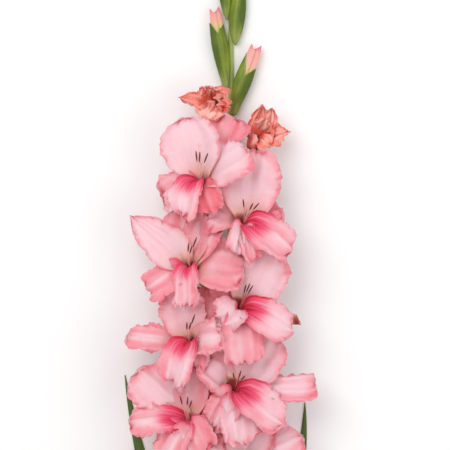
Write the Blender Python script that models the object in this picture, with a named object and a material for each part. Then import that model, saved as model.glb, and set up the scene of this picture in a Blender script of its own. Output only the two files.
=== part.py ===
"""A cut gladiolus flower spike, lying on its back with the florets facing up.

The stem runs along +Y, from its cut end to its tip, and +Z is up. All sizes are in
millimetres until a mesh is made. Places are given from the cut end of the stem: x to the
right of the stem's line, y along the stem and z above the surface that it lies on.
"""
import math
from collections import namedtuple

import bmesh
import bpy
import numpy as np

MM = 0.001
UP = np.array([0.0, 0.0, 1.0])
CENTRE = np.array([12.03, -433.0, 0.0])    # moves the middle of the spike's box to the origin

# Stem
STEM_LENGTH = 862.0
STEM_FOOT_RADIUS = 5.2
STEM_TOP_RADIUS = 2.6                      # where the taper would end without the tip
STEM_TIP_RADIUS = 1.1
STEM_SIDES = 12
STEM_STEPS = 14
GAP = 0.35                                 # between pieces that touch

# Open florets
THROAT_HEIGHT = 56.0
THROAT_DEPTH = 18.0                        # from the throat down to the floor of the funnel
THROAT_RISE = 21.0                         # how far a tepal heads up the funnel
FUNNEL_ANGLE = math.radians(22)
LIP_ANGLE = math.radians(-16)              # the lower tepals lean over the mouth of the funnel
FLOOR_RADIUS = 4.6
FUNNEL_WALL = 1.3
TUBE_RADIUS = 3.3
TUBE_OVERLAP = 1.4                         # of the tube and the tepals
TUBE_CLEARANCE = 2.2                       # of the middle of the tube's foot from the stem
TUBE_FOOT = np.array([0.62, 0.0, 0.78])    # way from the stem's middle to the tube's foot
TUBE_START = np.array([0.30, 0.75, 0.62])  # way that the tube sets out
TUBE_DROP = 42.0                           # the tube leaves the stem this far below its throat
TEPAL_THICKNESS = 1.3
TEPAL_CLAW = 4.4                           # half width of a tepal where it leaves the tube
TEPAL_ROWS, TEPAL_COLUMNS = 7, 5
LEFT_AXIS = np.array([-0.28, 0.48, 0.83])
RIGHT_AXIS = np.array([0.12, 0.48, 0.87])

Tepal = namedtuple("Tepal", "tip width curl widest point roll cup bow fold")
Floret = namedtuple("Floret", "number throat side anthers tepals")


def tepal(x, y, z, width, curl=-20, widest=0.62, point=0.5, roll=0, cup=0.006, bow=0, fold=0):
    """A tepal whose tip is x, y, z from the throat; curl is the rise of its tip in degrees.

    fold shuts it along its midrib.
    """
    return Tepal(np.array([x, y, z], float), width, math.radians(curl), widest, point,
                 math.radians(roll), cup, bow, math.radians(fold))


FLORETS = [
    Floret(1, (-32, 592), "left", [(-2, 22), (3, 21), (9, 20)], [
        tepal(-15, 60, -4, 62, widest=0.64, point=0.45, cup=0.012),
        tepal(36, 61, -14, 46, widest=0.85, point=0.25),
        tepal(48, 27, 10, 52, widest=0.74, point=0.35),
        tepal(13, -34, 14, 32, curl=-50, widest=0.75, point=0.35),
        tepal(-16, -37, 15, 36, curl=-45, widest=0.72, point=0.35, bow=-6),
        tepal(-38, -18, -5, 46, curl=-25, widest=0.86, point=0.2),
    ]),
    Floret(2, (14, 551), "right", [(-2, 20), (8, 16), (14, 16)], [
        tepal(12, 69, -8, 60, widest=0.66, point=0.4),
        tepal(-29, 14, -6, 62, widest=0.78, point=0.25),
        tepal(37, 6, -6, 44, widest=0.7, point=0.4),
        tepal(46, -33, 8, 42, curl=-35, widest=0.7, point=0.45),
        tepal(10, -42, 10, 24, curl=-50, widest=0.7, point=0.4),
        tepal(-8, -35, 8, 26, curl=-50, widest=0.7, point=0.4),
    ]),
    Floret(3, (-44, 507), "left", [(10, 26), (2, 20), (5, 17)], [
        tepal(-1, 53, -10, 52, widest=0.7, point=0.3),
        tepal(-56, 46, -4, 44, widest=0.45, point=0.9),
        tepal(27, 49, -9, 42, roll=15, widest=0.7, fold=20),
        tepal(56, -5, 3, 58, widest=0.72, point=0.3),
        tepal(-1, -43, 14, 29, curl=-50, widest=0.75, point=0.4),
        tepal(-40, -28, 8, 38, curl=-35, widest=0.8, point=0.3),
    ]),
    Floret(4, (10, 465), "right", [(5, 21), (9, 22), (12, 20)], [
        tepal(32, 52, -8, 60, widest=0.66, point=0.32),
        tepal(-20, 40, -9, 46, widest=0.7, point=0.35),
        tepal(-20, -17, 8, 38, curl=-30, widest=0.75, point=0.35, fold=15),
        tepal(57, -20, -4, 27, widest=0.5, point=1.0),
        tepal(50, -27, 8, 42, curl=-35, widest=0.7, point=0.6),
        tepal(3, -60, 17, 43, curl=-50, widest=0.75, point=0.35),
    ]),
    Floret(5, (-44, 432), "left", [(8, 24), (0, 16), (4, 16)], [
        tepal(-8, 50, -7, 48, widest=0.66, point=0.4),
        tepal(20, 50, -15, 42, widest=0.75, point=0.35),
        tepal(-58, 3, -3, 32, widest=0.88, point=0.12),
        tepal(34, 3, 19, 42, widest=0.75, point=0.3),
        tepal(12, -31, 15, 30, curl=-50, widest=0.75, point=0.35),
        tepal(-14, -44, 13, 40, curl=-50, widest=0.75, point=0.4, fold=15),
    ]),
    Floret(6, (5, 383), "right", [(-3, 15), (5, 17), (9, 12)], [
        tepal(36, 51, -8, 58, widest=0.66, point=0.35),
        tepal(-34, 22, 4, 44, widest=0.75, point=0.35, fold=20),
        tepal(79, 0, -4, 33, widest=0.88, point=0.15),
        tepal(45, -36, 8, 46, curl=-35, widest=0.7, point=0.45),
        tepal(8, -55, 12, 44, curl=-50, widest=0.72, point=0.4),
        tepal(-22, -38, 11, 36, curl=-45, widest=0.72, point=0.35),
    ]),
    Floret(7, (-45, 353), "left", [(-6, 22), (2, 21), (6, 17)], [
        tepal(2, 50, -7, 50, widest=0.7, point=0.4),
        tepal(26, 34, -12, 38, widest=0.75, point=0.35),
        tepal(-49, 44, -5, 50, widest=0.75, point=0.3),
        tepal(-55, -6, 3, 36, curl=-30, widest=0.75, point=0.35),
        tepal(-22, -42, 13, 38, curl=-50, widest=0.75, point=0.4),
        tepal(16, -34, 12, 40, curl=-50, widest=0.75, point=0.4),
    ]),
    Floret(8, (9, 305), "right", [(0, 12), (6, 12), (10, 9)], [
        tepal(18, 51, -8, 50, widest=0.7, point=0.4),
        tepal(62, 26, -6, 44, widest=0.78, point=0.3),
        tepal(-34, 16, 5, 40, widest=0.8, point=0.3),
        tepal(50, -26, 7, 44, curl=-35, widest=0.7, point=0.45),
        tepal(10, -46, 13, 38, curl=-50, widest=0.75, point=0.4),
        tepal(-22, -34, 10, 30, curl=-45, widest=0.75, point=0.4),
    ]),
    Floret(9, (-43, 268), "left", [(-2, 22), (3, 21), (8, 18)], [
        tepal(-10, 52, -7, 50, widest=0.7, point=0.4),
        tepal(33, 73, -20, 34, widest=0.75, point=0.35),
        tepal(-56, 20, -4, 44, widest=0.75, point=0.3),
        tepal(46, -4, 0, 46, widest=0.75, point=0.35),
        tepal(10, -44, 13, 36, curl=-50, widest=0.75, point=0.4),
        tepal(-34, -34, 11, 38, curl=-45, widest=0.75, point=0.4),
    ]),
]

# Florets that are just opening: side, throat, axis and tepals
HALF_OPEN_DEPTH = 12.0
HALF_OPEN_DROP = 30.0
HALF_OPEN_TUBE_RADIUS = 2.6
HALF_OPEN_ROWS, HALF_OPEN_COLUMNS = 5, 4
HALF_OPEN = [
    ("left", (-15, 664, 28), (-0.30, 0.38, 0.87), [
        tepal(-35, 7, 2, 20, curl=15, widest=0.5, point=0.9, fold=25), tepal(-8, 18, 4, 28, curl=30),
        tepal(13, 10, 6, 30, curl=40), tepal(-6, -16, 5, 32, curl=10),
        tepal(5, 5, 13, 26, curl=60), tepal(-6, 3, 12, 26, curl=60),
    ]),
    ("right", (25, 629, 27), (0.24, 0.52, 0.82), [
        tepal(4, 35, 4, 22, curl=15, point=1.0, fold=20), tepal(15, 30, 6, 26, curl=20, point=0.9),
        tepal(32, 7, 2, 28, curl=0, point=0.9, fold=20), tepal(8, 19, 11, 28, curl=45),
        tepal(-6, 2, 8, 26, curl=30), tepal(13, -7, 6, 28, curl=10),
    ]),
]

# Bracts round the foot of each floret
BRACT_THICKNESS = 0.8
OUTER_BRACT_SPAN = math.radians(100)
INNER_BRACT_SPAN = math.radians(62)
OUTER_BRACT_START, OUTER_BRACT_END = 0.10, 0.70     # along the tube
INNER_BRACT_START, INNER_BRACT_END = 0.16, 0.56
LONE_BRACT_START, LONE_BRACT_END = 0.16, 0.80       # of a half-open floret
OUTER_BRACT_RADIUS = 6.4
INNER_BRACT_RADIUS = 5.3
LONE_BRACT_RADIUS = 5.6

# Stamens and style
FILAMENT_RADIUS = 0.5
ANTHER_RADIUS = 1.05
ANTHER_SHARE = 0.26                        # of a filament's length that is its anther
ANTHER_HEIGHT = 14.0                       # above the throat
STIGMA_RADIUS = 0.8
STIGMA_SHARE = 0.08
STIGMA_OFFSET = np.array([-1.0, 6.0, -2.0])         # from the middle anther's tip
COLUMN_RADIUS = 2.0
COLUMN_LENGTH = 3.0
COLUMN_LIFT = 2.6                          # of the column above the floor of the funnel

# Leaves
LEAF_THICKNESS = 1.2
SHEATH_WALL = 1.1
SHEATH_LENGTH = 46.0
SHEATH_LIFT = 1.9                          # the sheaths carry the foot of the stem
Leaf = namedtuple("Leaf", "name side foot reach tip width")
LEAVES = [
    Leaf("leaf_left", -1, 16.0, (-80, 215), (-108, 392), 23.0),
    Leaf("leaf_right", 1, 70.0, (76, 240), (75.5, 364), 21.0),
    Leaf("leaf_short", -1, 124.0, (-24, 175), (-46, 262), 15.0),
]

# Buds: foot and tip on the plan, height of the middle, half width, half depth and mouth
Bud = namedtuple("Bud", "name foot tip height width depth mouth")
PINK_BUDS = [
    Bud("left", (-5.0, 683), (-17.5, 767), 8.4, 8.6, 6.0, 0.67),
    Bud("right", (2.8, 656), (26, 729), 9.4, 9.2, 6.2, 0.55),
]
TIP_BUDS = [
    Bud("tip_bud_1", (4.6, 728), (12, 808), 7.4, 8.3, 5.4, 1),
    Bud("tip_bud_2", (-4.0, 754), (-11, 826), 6.8, 6.2, 4.6, 1),
    Bud("tip_bud_3", (3.0, 796), (8, 848), 5.4, 4.8, 3.6, 1),
    Bud("tip_bud_4", (-2.6, 818), (-5.5, 858), 4.6, 3.6, 2.9, 1),
    Bud("tip_bud_5", (2.6, 838), (2.6, 866), 4.2, 2.6, 2.2, 1),
]

PETAL_SHARE = 0.9                          # of the bud, for petals that stand out of it
PETAL_GAP = 0.9                            # between petals and their spathe

# Colour, roughness of each kind of piece
COLOURS = {
    "stem": ((0.20, 0.31, 0.08), 0.45),
    "leaf": ((0.07, 0.13, 0.03), 0.5),
    "bract": ((0.16, 0.30, 0.06), 0.5),
    "tepal": ((0.90, 0.48, 0.52), 0.55),
    "coral": ((0.87, 0.28, 0.22), 0.55),
    "stamen": ((0.36, 0.14, 0.18), 0.6),
}


def unit(vectors):
    """Vectors of length one."""
    return vectors / np.linalg.norm(vectors, axis=-1, keepdims=True)


def rise(x, low, high):
    """0 below low and 1 above high, with a smooth step between."""
    k = np.clip((x - low) / (high - low), 0.0, 1.0)
    return k * k * (3 - 2 * k)


def bezier(points, s):
    """Places and directions along a cubic Bezier curve."""
    p0, p1, p2, p3 = (np.asarray(p, float) for p in points)
    s = np.asarray(s, float)[..., None]
    place = (1 - s) ** 3 * p0 + 3 * (1 - s) ** 2 * s * p1 + 3 * (1 - s) * s ** 2 * p2 + s ** 3 * p3
    along = (1 - s) ** 2 * (p1 - p0) + 2 * (1 - s) * s * (p2 - p1) + s ** 2 * (p3 - p2)
    return place, unit(along)


def stem_radius(y):
    """The stem tapers evenly, and then fast to its tip with the eighth power of the length."""
    share = np.asarray(y) / STEM_LENGTH
    taper = (STEM_FOOT_RADIUS - STEM_TOP_RADIUS) * share + (STEM_TOP_RADIUS - STEM_TIP_RADIUS) * share ** 8
    return STEM_FOOT_RADIUS - taper


def stem_centre(y):
    """Middle of the stem: it lies on the surface, on the leaf sheaths at its foot."""
    y = np.asarray(y, float)
    height = stem_radius(y) * math.cos(math.pi / STEM_SIDES)
    height = height + SHEATH_LIFT * (1 - rise(y, 150.0, 300.0))
    return np.stack([np.zeros_like(y), y, height], axis=-1)


# ---------------------------------------------------------------- meshes

def material(kind):
    """A plain Principled material for one kind of piece."""
    found = bpy.data.materials.get(kind)
    if found:
        return found
    colour, roughness = COLOURS[kind]
    made = bpy.data.materials.new(kind)
    made.use_nodes = True
    shader = made.node_tree.nodes["Principled BSDF"]
    shader.inputs["Base Color"].default_value = (*colour, 1.0)
    shader.inputs["Roughness"].default_value = roughness
    shader.inputs["Metallic"].default_value = 0.0
    return made


def piece(name, points, faces, kind):
    """An object from points in millimetres."""
    mesh = bpy.data.meshes.new(name)
    mesh.from_pydata(((points + CENTRE) * MM).tolist(), [], faces)
    mesh.materials.append(material(kind))
    mesh.shade_smooth()
    mesh.set_sharp_from_angle(angle=math.radians(50))
    made = bpy.data.objects.new(name, mesh)
    bpy.context.scene.collection.objects.link(made)
    return made


def quads(rows, columns, start=0, closed=False):
    """Faces of a grid of points; closed joins the last column to the first."""
    last = columns if closed else columns - 1
    faces = []
    for i in range(rows - 1):
        for j in range(last):
            k = (j + 1) % columns
            a, b = start + i * columns, start + (i + 1) * columns
            faces.append((a + j, b + j, b + k, a + k))
    return faces


def slab(grid, thickness):
    """A closed sheet of even thickness round a grid of points."""
    rows, columns = grid.shape[:2]
    normal = unit(np.cross(np.gradient(grid, axis=0), np.gradient(grid, axis=1)))
    top = (grid + normal * thickness / 2).reshape(-1, 3)
    bottom = (grid - normal * thickness / 2).reshape(-1, 3)
    count = rows * columns
    faces = quads(rows, columns)
    faces += [tuple(reversed(face)) for face in quads(rows, columns, count)]
    rim = [i * columns for i in range(rows)]
    rim += [(rows - 1) * columns + j for j in range(1, columns)]
    rim += [i * columns + columns - 1 for i in range(rows - 2, -1, -1)]
    rim += list(range(columns - 2, 0, -1))
    for a, b in zip(rim, rim[1:] + rim[:1]):
        faces.append((b, a, a + count, b + count))
    return np.concatenate([top, bottom]), faces


def swept(places, along, widths, depths, sides, sideways=(1, 0, 0)):
    """A closed body of elliptical rings along a path, wide along sideways."""
    across = np.asarray(sideways, float) - along * (along @ np.asarray(sideways, float))[:, None]
    across = unit(across)
    up = np.cross(across, along)
    angle = (np.arange(sides) + 0.5) * 2 * math.pi / sides
    ring = across[:, None] * np.cos(angle)[:, None] * np.asarray(widths)[:, None, None]
    ring = ring + up[:, None] * np.sin(angle)[:, None] * np.asarray(depths)[:, None, None]
    points = (places[:, None] + ring).reshape(-1, 3)
    rows = len(places)
    faces = [tuple(reversed(face)) for face in quads(rows, sides, closed=True)]
    faces.append(tuple(range(sides)))
    faces.append(tuple(reversed(range((rows - 1) * sides, rows * sides))))
    return points, faces


def largest_body(bm):
    """Deletes the slivers that a union can leave beside the main body."""
    left = set(bm.verts)
    bodies = []
    while left:
        grown = [left.pop()]
        for vert in grown:
            near = {edge.other_vert(vert) for edge in vert.link_edges} & left
            left -= near
            grown.extend(near)
        bodies.append(grown)
    bodies.sort(key=len)
    bmesh.ops.delete(bm, geom=[vert for body in bodies[:-1] for vert in body], context="VERTS")


def outward(made):
    """Turns the faces of an object out and cuts them into triangles."""
    bm = bmesh.new()
    bm.from_mesh(made.data)
    largest_body(bm)
    bmesh.ops.remove_doubles(bm, verts=bm.verts, dist=1e-6)
    bmesh.ops.dissolve_degenerate(bm, edges=bm.edges, dist=1e-6)
    bmesh.ops.triangulate(bm, faces=bm.faces)
    bmesh.ops.recalc_face_normals(bm, faces=bm.faces)
    bm.to_mesh(made.data)
    bm.free()


def joined(name, bodies, kind):
    """Closed bodies that grow into each other, as one solid."""
    first = piece(name, *bodies[0], kind)
    outward(first)
    for number, body in enumerate(bodies[1:]):
        helper = piece(f"{name}_{number}", *body, kind)
        outward(helper)
        union = first.modifiers.new("Union", "BOOLEAN")
        union.operation = "UNION"
        union.solver = "EXACT"
        union.object = helper
        depsgraph = bpy.context.evaluated_depsgraph_get()
        grown = bpy.data.meshes.new_from_object(first.evaluated_get(depsgraph))
        first.modifiers.clear()
        first.data = grown
        bpy.data.objects.remove(helper)
    outward(first)
    first.data.shade_smooth()
    first.data.set_sharp_from_angle(angle=math.radians(50))
    return first


# ---------------------------------------------------------------- florets

def tepal_grid(throat, axis, shape, rows, columns):
    """Rows of points from the tube to the tip of a tepal, columns across it.

    The middle line is a Bezier curve that leaves the tube along a cone round the floret's
    axis and ends at the tip. Across it the tepal is an arc round the axis inside the funnel
    and nearly flat further out, bent up by its fold.
    """
    s = (1 - (1 - np.linspace(0, 1, rows)) ** 1.25)[:, None] * np.ones(columns)
    v = np.linspace(-1, 1, columns) * np.ones((rows, 1))
    out = unit(shape.tip - axis * (shape.tip @ axis))
    side = np.cross(axis, out)
    root = throat - axis * THROAT_DEPTH + out * FLOOR_RADIUS
    tip = throat + shape.tip
    reach = np.linalg.norm(tip - root)
    heading = unit(shape.tip * np.array([1.0, 1.0, 0.0]))
    lower = rise(-heading[1], -0.2, 0.9)
    cone = FUNNEL_ANGLE + (LIP_ANGLE - FUNNEL_ANGLE) * lower
    leave = axis * math.cos(cone) + out * math.sin(cone)
    end = heading * math.cos(shape.curl) + UP * math.sin(shape.curl)
    climb = THROAT_RISE * (1 + 0.35 * lower)
    place, along = bezier((root, root + leave * climb, tip - end * reach * 0.35, tip), s)
    across = unit(side - along * np.sum(along * side, axis=-1, keepdims=True))
    face = np.cross(along, across)
    from_axis = place - throat
    from_axis = np.linalg.norm(from_axis - (from_axis @ axis)[..., None] * axis, axis=-1)
    turn = (shape.roll * rise(s, 0.1, 0.7))[..., None]
    across, face = across * np.cos(turn) + face * np.sin(turn), face * np.cos(turn) - across * np.sin(turn)
    place = place + across * (shape.bow * np.sin(math.pi * s))[..., None]
    grow = np.sin(math.pi / 2 * np.minimum(s / shape.widest, 1)) ** 0.6
    close = np.clip((s - shape.widest) / (1 - shape.widest), 0, 1)
    half = np.minimum(TEPAL_CLAW + (shape.width / 2 - TEPAL_CLAW) * grow, from_axis * 1.5)
    half = np.maximum(half * np.maximum(1 - close ** 2, 0) ** shape.point, 0.7)
    width = half * v
    bend = shape.cup + (1 / from_axis - shape.cup) * (1 - rise(s, 0.15, 0.55))
    angle = bend * width
    flat = width * np.sinc(angle / math.pi)
    lift = width ** 2 * bend / 2 * np.sinc(angle / (2 * math.pi)) ** 2
    shut = shape.fold * rise(s, 0.2, 0.6)
    lift = lift * np.cos(shut) + np.abs(flat) * np.sin(shut)
    flat = flat * np.cos(shut)
    return place + across * flat[..., None] + face * lift[..., None]


def floret_frame(throat, side):
    """Throat and axis of an open floret."""
    axis = unit(LEFT_AXIS if side == "left" else RIGHT_AXIS)
    return np.array([throat[0], throat[1], THROAT_HEIGHT], float), axis


def tube_curve(throat, axis, side, drop, depth):
    """Curve of a tube, from beside the stem up to the floor of its funnel."""
    sign = -1 if side == "left" else 1
    y = throat[1] - drop
    turned = np.array([sign, 1.0, 1.0])
    foot = stem_centre(y) + TUBE_FOOT * turned * (float(stem_radius(y)) + TUBE_CLEARANCE)
    floor = throat - axis * depth
    heading = unit(TUBE_START * turned)
    reach = np.linalg.norm(floor - foot)
    return foot, foot + heading * reach * 0.4, floor - axis * reach * 0.35, floor


def tube_body(curve, radius):
    """A solid tube that swells a little at its foot and widens into the funnel."""
    s = np.array([0.0, 0.05, 0.14, 0.3, 0.5, 0.7, 0.88, 1.0])
    places, along = bezier(curve, s)
    widths = radius * np.array([0.45, 0.85, 1.1, 1.0, 0.95, 1.05, 1.3, 1.3])
    top_radius = FLOOR_RADIUS + FUNNEL_WALL
    widths[-2:] = [0.5 * (radius + top_radius), top_radius]
    places[-1] += along[-1] * TUBE_OVERLAP
    return swept(places, along, widths, widths, 8)


def bract_grid(curve, start, end, span, radius, towards_stem, rows=5, columns=5):
    """A sheet wrapped round the tube, with a pointed tip."""
    s = np.linspace(start, end, rows)
    places, along = bezier(curve, s)
    foot = np.asarray(curve[0], float)
    guide = stem_centre(foot[1] + 30.0 + 40.0 * s) - places
    inner = unit(guide - along * np.sum(guide * along, axis=-1, keepdims=True))
    middle = inner if towards_stem else -inner
    lateral = np.cross(along, middle)
    share = np.linspace(0, 1, rows)
    angles = span * np.maximum(1 - share ** 2.2, 0.08)[:, None] * np.linspace(-1, 1, columns)
    width = (radius * (0.84 + 0.16 * np.sin(math.pi * np.minimum(share * 1.2, 1))))[:, None, None]
    around = middle[:, None] * np.cos(angles)[..., None] + lateral[:, None] * np.sin(angles)[..., None]
    return places[:, None] + around * width


def filament(throat, axis, foot, tip, radius, tip_radius, share):
    """A thread from the tube to its tip; the last share of it is thicker."""
    reach = np.linalg.norm(tip - foot)
    end = unit((tip - throat) * np.array([1, 1, 0.6]))
    curve = (foot, foot + axis * reach * 0.45, tip - end * reach * 0.3, tip)
    s = np.array([0.0, 0.35, 1 - share, 1 - share * 0.85, 1.0])
    places, along = bezier(curve, s)
    widths = np.array([radius] * 3 + [tip_radius, tip_radius * 0.6])
    return swept(places, along, widths, widths, 5)


def stamens(floret, throat, axis):
    """Three stamens and the style, on the short column that they share."""
    base = throat - axis * (THROAT_DEPTH - COLUMN_LIFT)
    places = base + axis * (COLUMN_LENGTH * np.array([0.0, 0.5, 1.0]))[:, None]
    widths = COLUMN_RADIUS * np.array([1.0, 1.0, 0.8])
    bodies = [swept(places, np.tile(axis, (3, 1)), widths, widths, 8)]
    tips = [throat + np.array([x, y, ANTHER_HEIGHT]) for x, y in floret.anthers]
    for tip, (x, _) in zip(tips, floret.anthers):
        root = places[1] + np.array([x, 0.0, 0.0]) * 0.05
        bodies.append(filament(throat, axis, root, tip, FILAMENT_RADIUS, ANTHER_RADIUS, ANTHER_SHARE))
    tip = tips[1] + STIGMA_OFFSET
    bodies.append(filament(throat, axis, base + axis, tip, FILAMENT_RADIUS, STIGMA_RADIUS, STIGMA_SHARE))
    return joined(f"stamens_{floret.number}", bodies, "stamen")


def open_floret(floret):
    """One open floret: its corolla, its stamens and its two bracts."""
    throat, axis = floret_frame(floret.throat, floret.side)
    curve = tube_curve(throat, axis, floret.side, TUBE_DROP, THROAT_DEPTH)
    bodies = [tube_body(curve, TUBE_RADIUS)]
    for shape in floret.tepals:
        grid = tepal_grid(throat, axis, shape, TEPAL_ROWS, TEPAL_COLUMNS)
        bodies.append(slab(grid, TEPAL_THICKNESS))
    joined(f"perianth_{floret.number}", bodies, "tepal")
    stamens(floret, throat, axis)
    outer = bract_grid(curve, OUTER_BRACT_START, OUTER_BRACT_END, OUTER_BRACT_SPAN,
                       OUTER_BRACT_RADIUS, False)
    piece(f"outer_bract_{floret.number}", *slab(outer, BRACT_THICKNESS), "bract")
    inner = bract_grid(curve, INNER_BRACT_START, INNER_BRACT_END, INNER_BRACT_SPAN,
                       INNER_BRACT_RADIUS, True)
    piece(f"inner_bract_{floret.number}", *slab(inner, BRACT_THICKNESS), "bract")


def half_open_floret(name, place, axis, tepals):
    """A floret that is just opening, in its bract."""
    axis = unit(np.array(axis))
    throat = np.array(place, float)
    raised = throat + axis * (THROAT_DEPTH - HALF_OPEN_DEPTH)
    curve = tube_curve(throat, axis, name, HALF_OPEN_DROP, HALF_OPEN_DEPTH)
    bodies = [tube_body(curve, HALF_OPEN_TUBE_RADIUS)]
    for shape in tepals:
        grid = tepal_grid(raised, axis, shape, HALF_OPEN_ROWS, HALF_OPEN_COLUMNS)
        bodies.append(slab(grid, TEPAL_THICKNESS))
    joined(f"corolla_{name}", bodies, "coral")
    outer = bract_grid(curve, LONE_BRACT_START, LONE_BRACT_END, OUTER_BRACT_SPAN,
                       LONE_BRACT_RADIUS, False)
    piece(f"corolla_bract_{name}", *slab(outer, BRACT_THICKNESS), "bract")


# ---------------------------------------------------------------- stem, leaves and buds

def stem():
    """The stem, from its cut end to its tip."""
    y = np.linspace(0.0, STEM_LENGTH, STEM_STEPS)
    along = np.tile([0.0, 1.0, 0.0], (STEM_STEPS, 1))
    widths = stem_radius(y)
    piece("stem", *swept(stem_centre(y), along, widths, widths, STEM_SIDES), "stem")


def leaf(shape):
    """A sword leaf: a blade that lies on the surface, grown from a sheath round the stem."""
    rows, columns = 14, 3
    radius = float(stem_radius(shape.foot)) + GAP + SHEATH_WALL / 2
    s = np.linspace(0, 1, rows)
    start = np.array([shape.side * radius, shape.foot, 0.0])
    lean = np.array([shape.side * (radius + 7.0), shape.foot + 80.0, 0.0])
    curve = (start, lean, (*shape.reach, 0.0), (*shape.tip, 0.0))
    places, along = bezier(curve, s)
    half = shape.width / 2 * rise(s, -0.05, 0.22) * np.clip((1 - s) / 0.45, 0.0, 1.0) ** 0.75
    half = np.maximum(half, 0.3)
    across = np.cross(along, UP)
    keel = places + np.outer(1 - rise(s, 0.1, 0.45), UP) * stem_centre(shape.foot)[2]
    keel[:, 2] += LEAF_THICKNESS / 2 + 0.1
    outwards = shape.side * np.sign(across[:, :1]) * across
    middle = keel + outwards * (half * (1 - rise(s, 0.1, 0.5)))[:, None]
    v = np.linspace(-1, 1, columns)
    grid = middle[:, None] + across[:, None] * (half[:, None] * v)[..., None]
    grid[:, 1, 2] += 0.6 * np.minimum(half / 4, 1)
    blade = slab(grid, LEAF_THICKNESS)
    wrap = np.linspace(-1, 1, 11) * math.radians(168)
    y = np.linspace(shape.foot - 6.0, shape.foot + SHEATH_LENGTH, 3)
    centre = stem_centre(y)
    ring = np.stack([shape.side * np.cos(wrap), np.zeros_like(wrap), np.sin(wrap)], axis=-1)
    wall = (stem_radius(y) + GAP + SHEATH_WALL / 2)[:, None, None]
    sheath = slab(centre[:, None] + ring * wall, SHEATH_WALL)
    joined(shape.name, [sheath, blade], "leaf")


def bud_path(bud):
    """Middle line of a bud, from beside the stem to its tip."""
    foot = np.array([*bud.foot, bud.height])
    tip = np.array([*bud.tip, bud.height + 1.5])
    reach = np.linalg.norm(tip - foot)
    lean = unit(tip - foot)
    start = unit(np.array([lean[0] * 0.4, lean[1], 0.0]))
    return foot, foot + start * reach * 0.35, tip - lean * reach * 0.35, tip


def closed_bud(bud):
    """A bud shut up in its green spathe."""
    s = np.array([0.0, 0.08, 0.22, 0.4, 0.6, 0.78, 0.92, 1.0])
    places, along = bezier(bud_path(bud), s)
    swell = np.array([0.2, 0.45, 0.8, 1.0, 0.88, 0.6, 0.28, 0.06])
    piece(bud.name, *swept(places, along, swell * bud.width, swell * bud.depth, 8), "bract")


def blunt_swell(s):
    """Thickness of a pink-tipped bud: a sine up to its middle and a parabola to a blunt tip."""
    grow = 0.3 + 0.7 * np.sin(math.pi / 2 * np.minimum(s / 0.55, 1))
    return grow * (1 - 0.4 * np.maximum((s - 0.55) / 0.45, 0) ** 2) * np.sqrt(np.clip(s / 0.02, 0.4, 1))


def pink_bud(bud):
    """A bud whose furled petals stand out of the mouth of its spathe."""
    sides = 10
    curve = bud_path(bud)
    mouth = bud.mouth + 0.07
    s = np.concatenate([[0.0, 0.03], np.linspace(0.12, mouth, 5)])
    places, along = bezier(curve, s)
    swell = blunt_swell(s)
    outer, _ = swept(places, along, swell * bud.width, swell * bud.depth, sides)
    wall = BRACT_THICKNESS
    widths, depths = swell[3:] * bud.width - wall, swell[3:] * bud.depth - wall
    inner, _ = swept(places[3:], along[3:], widths, depths, sides)
    rows = len(s) - 3
    count = len(outer)
    points = np.concatenate([outer, inner])
    faces = quads(len(s), sides, closed=True)
    faces += [tuple(reversed(face)) for face in quads(rows, sides, count, closed=True)]
    faces.append(tuple(range(sides)))
    faces.append(tuple(range(count, count + sides)))
    lip, throat = count - sides, count + (rows - 1) * sides
    for j in range(sides):
        k = (j + 1) % sides
        faces.append((lip + j, throat + j, throat + k, lip + k))
    spathe = piece(f"bud_spathe_{bud.name}", points, faces, "bract")
    outward(spathe)
    held = np.linspace(s[3] + 0.03, mouth, 4)
    free = np.linspace(mouth, 1.0, 4)[1:]
    s = np.concatenate([held, free])
    places, along = bezier(curve, s)
    swell = blunt_swell(s)
    widths = swell * bud.width * PETAL_SHARE
    depths = swell * bud.depth * PETAL_SHARE
    widths[:4] = swell[:4] * bud.width - wall - PETAL_GAP
    depths[:4] = swell[:4] * bud.depth - wall - PETAL_GAP
    piece(f"bud_petals_{bud.name}", *swept(places, along, widths, depths, 8), "coral")


def build():
    for old in list(bpy.data.objects):
        bpy.data.objects.remove(old)
    stem()
    for shape in LEAVES:
        leaf(shape)
    for floret in FLORETS:
        open_floret(floret)
    for half_open in HALF_OPEN:
        half_open_floret(*half_open)
    for bud in PINK_BUDS:
        pink_bud(bud)
    for bud in TIP_BUDS:
        closed_bud(bud)
    for made in bpy.context.scene.objects:
        outward(made)


build()
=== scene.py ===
"""The looks of a cut gladiolus flower spike that lies on its back, laid out as an add-on.

Shapes are worked out in millimetres from the cut end of the stem: x to the right of the
stem's line, y along the stem and z above the surface that it lies on.
"""
import math
from collections import namedtuple

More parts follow.
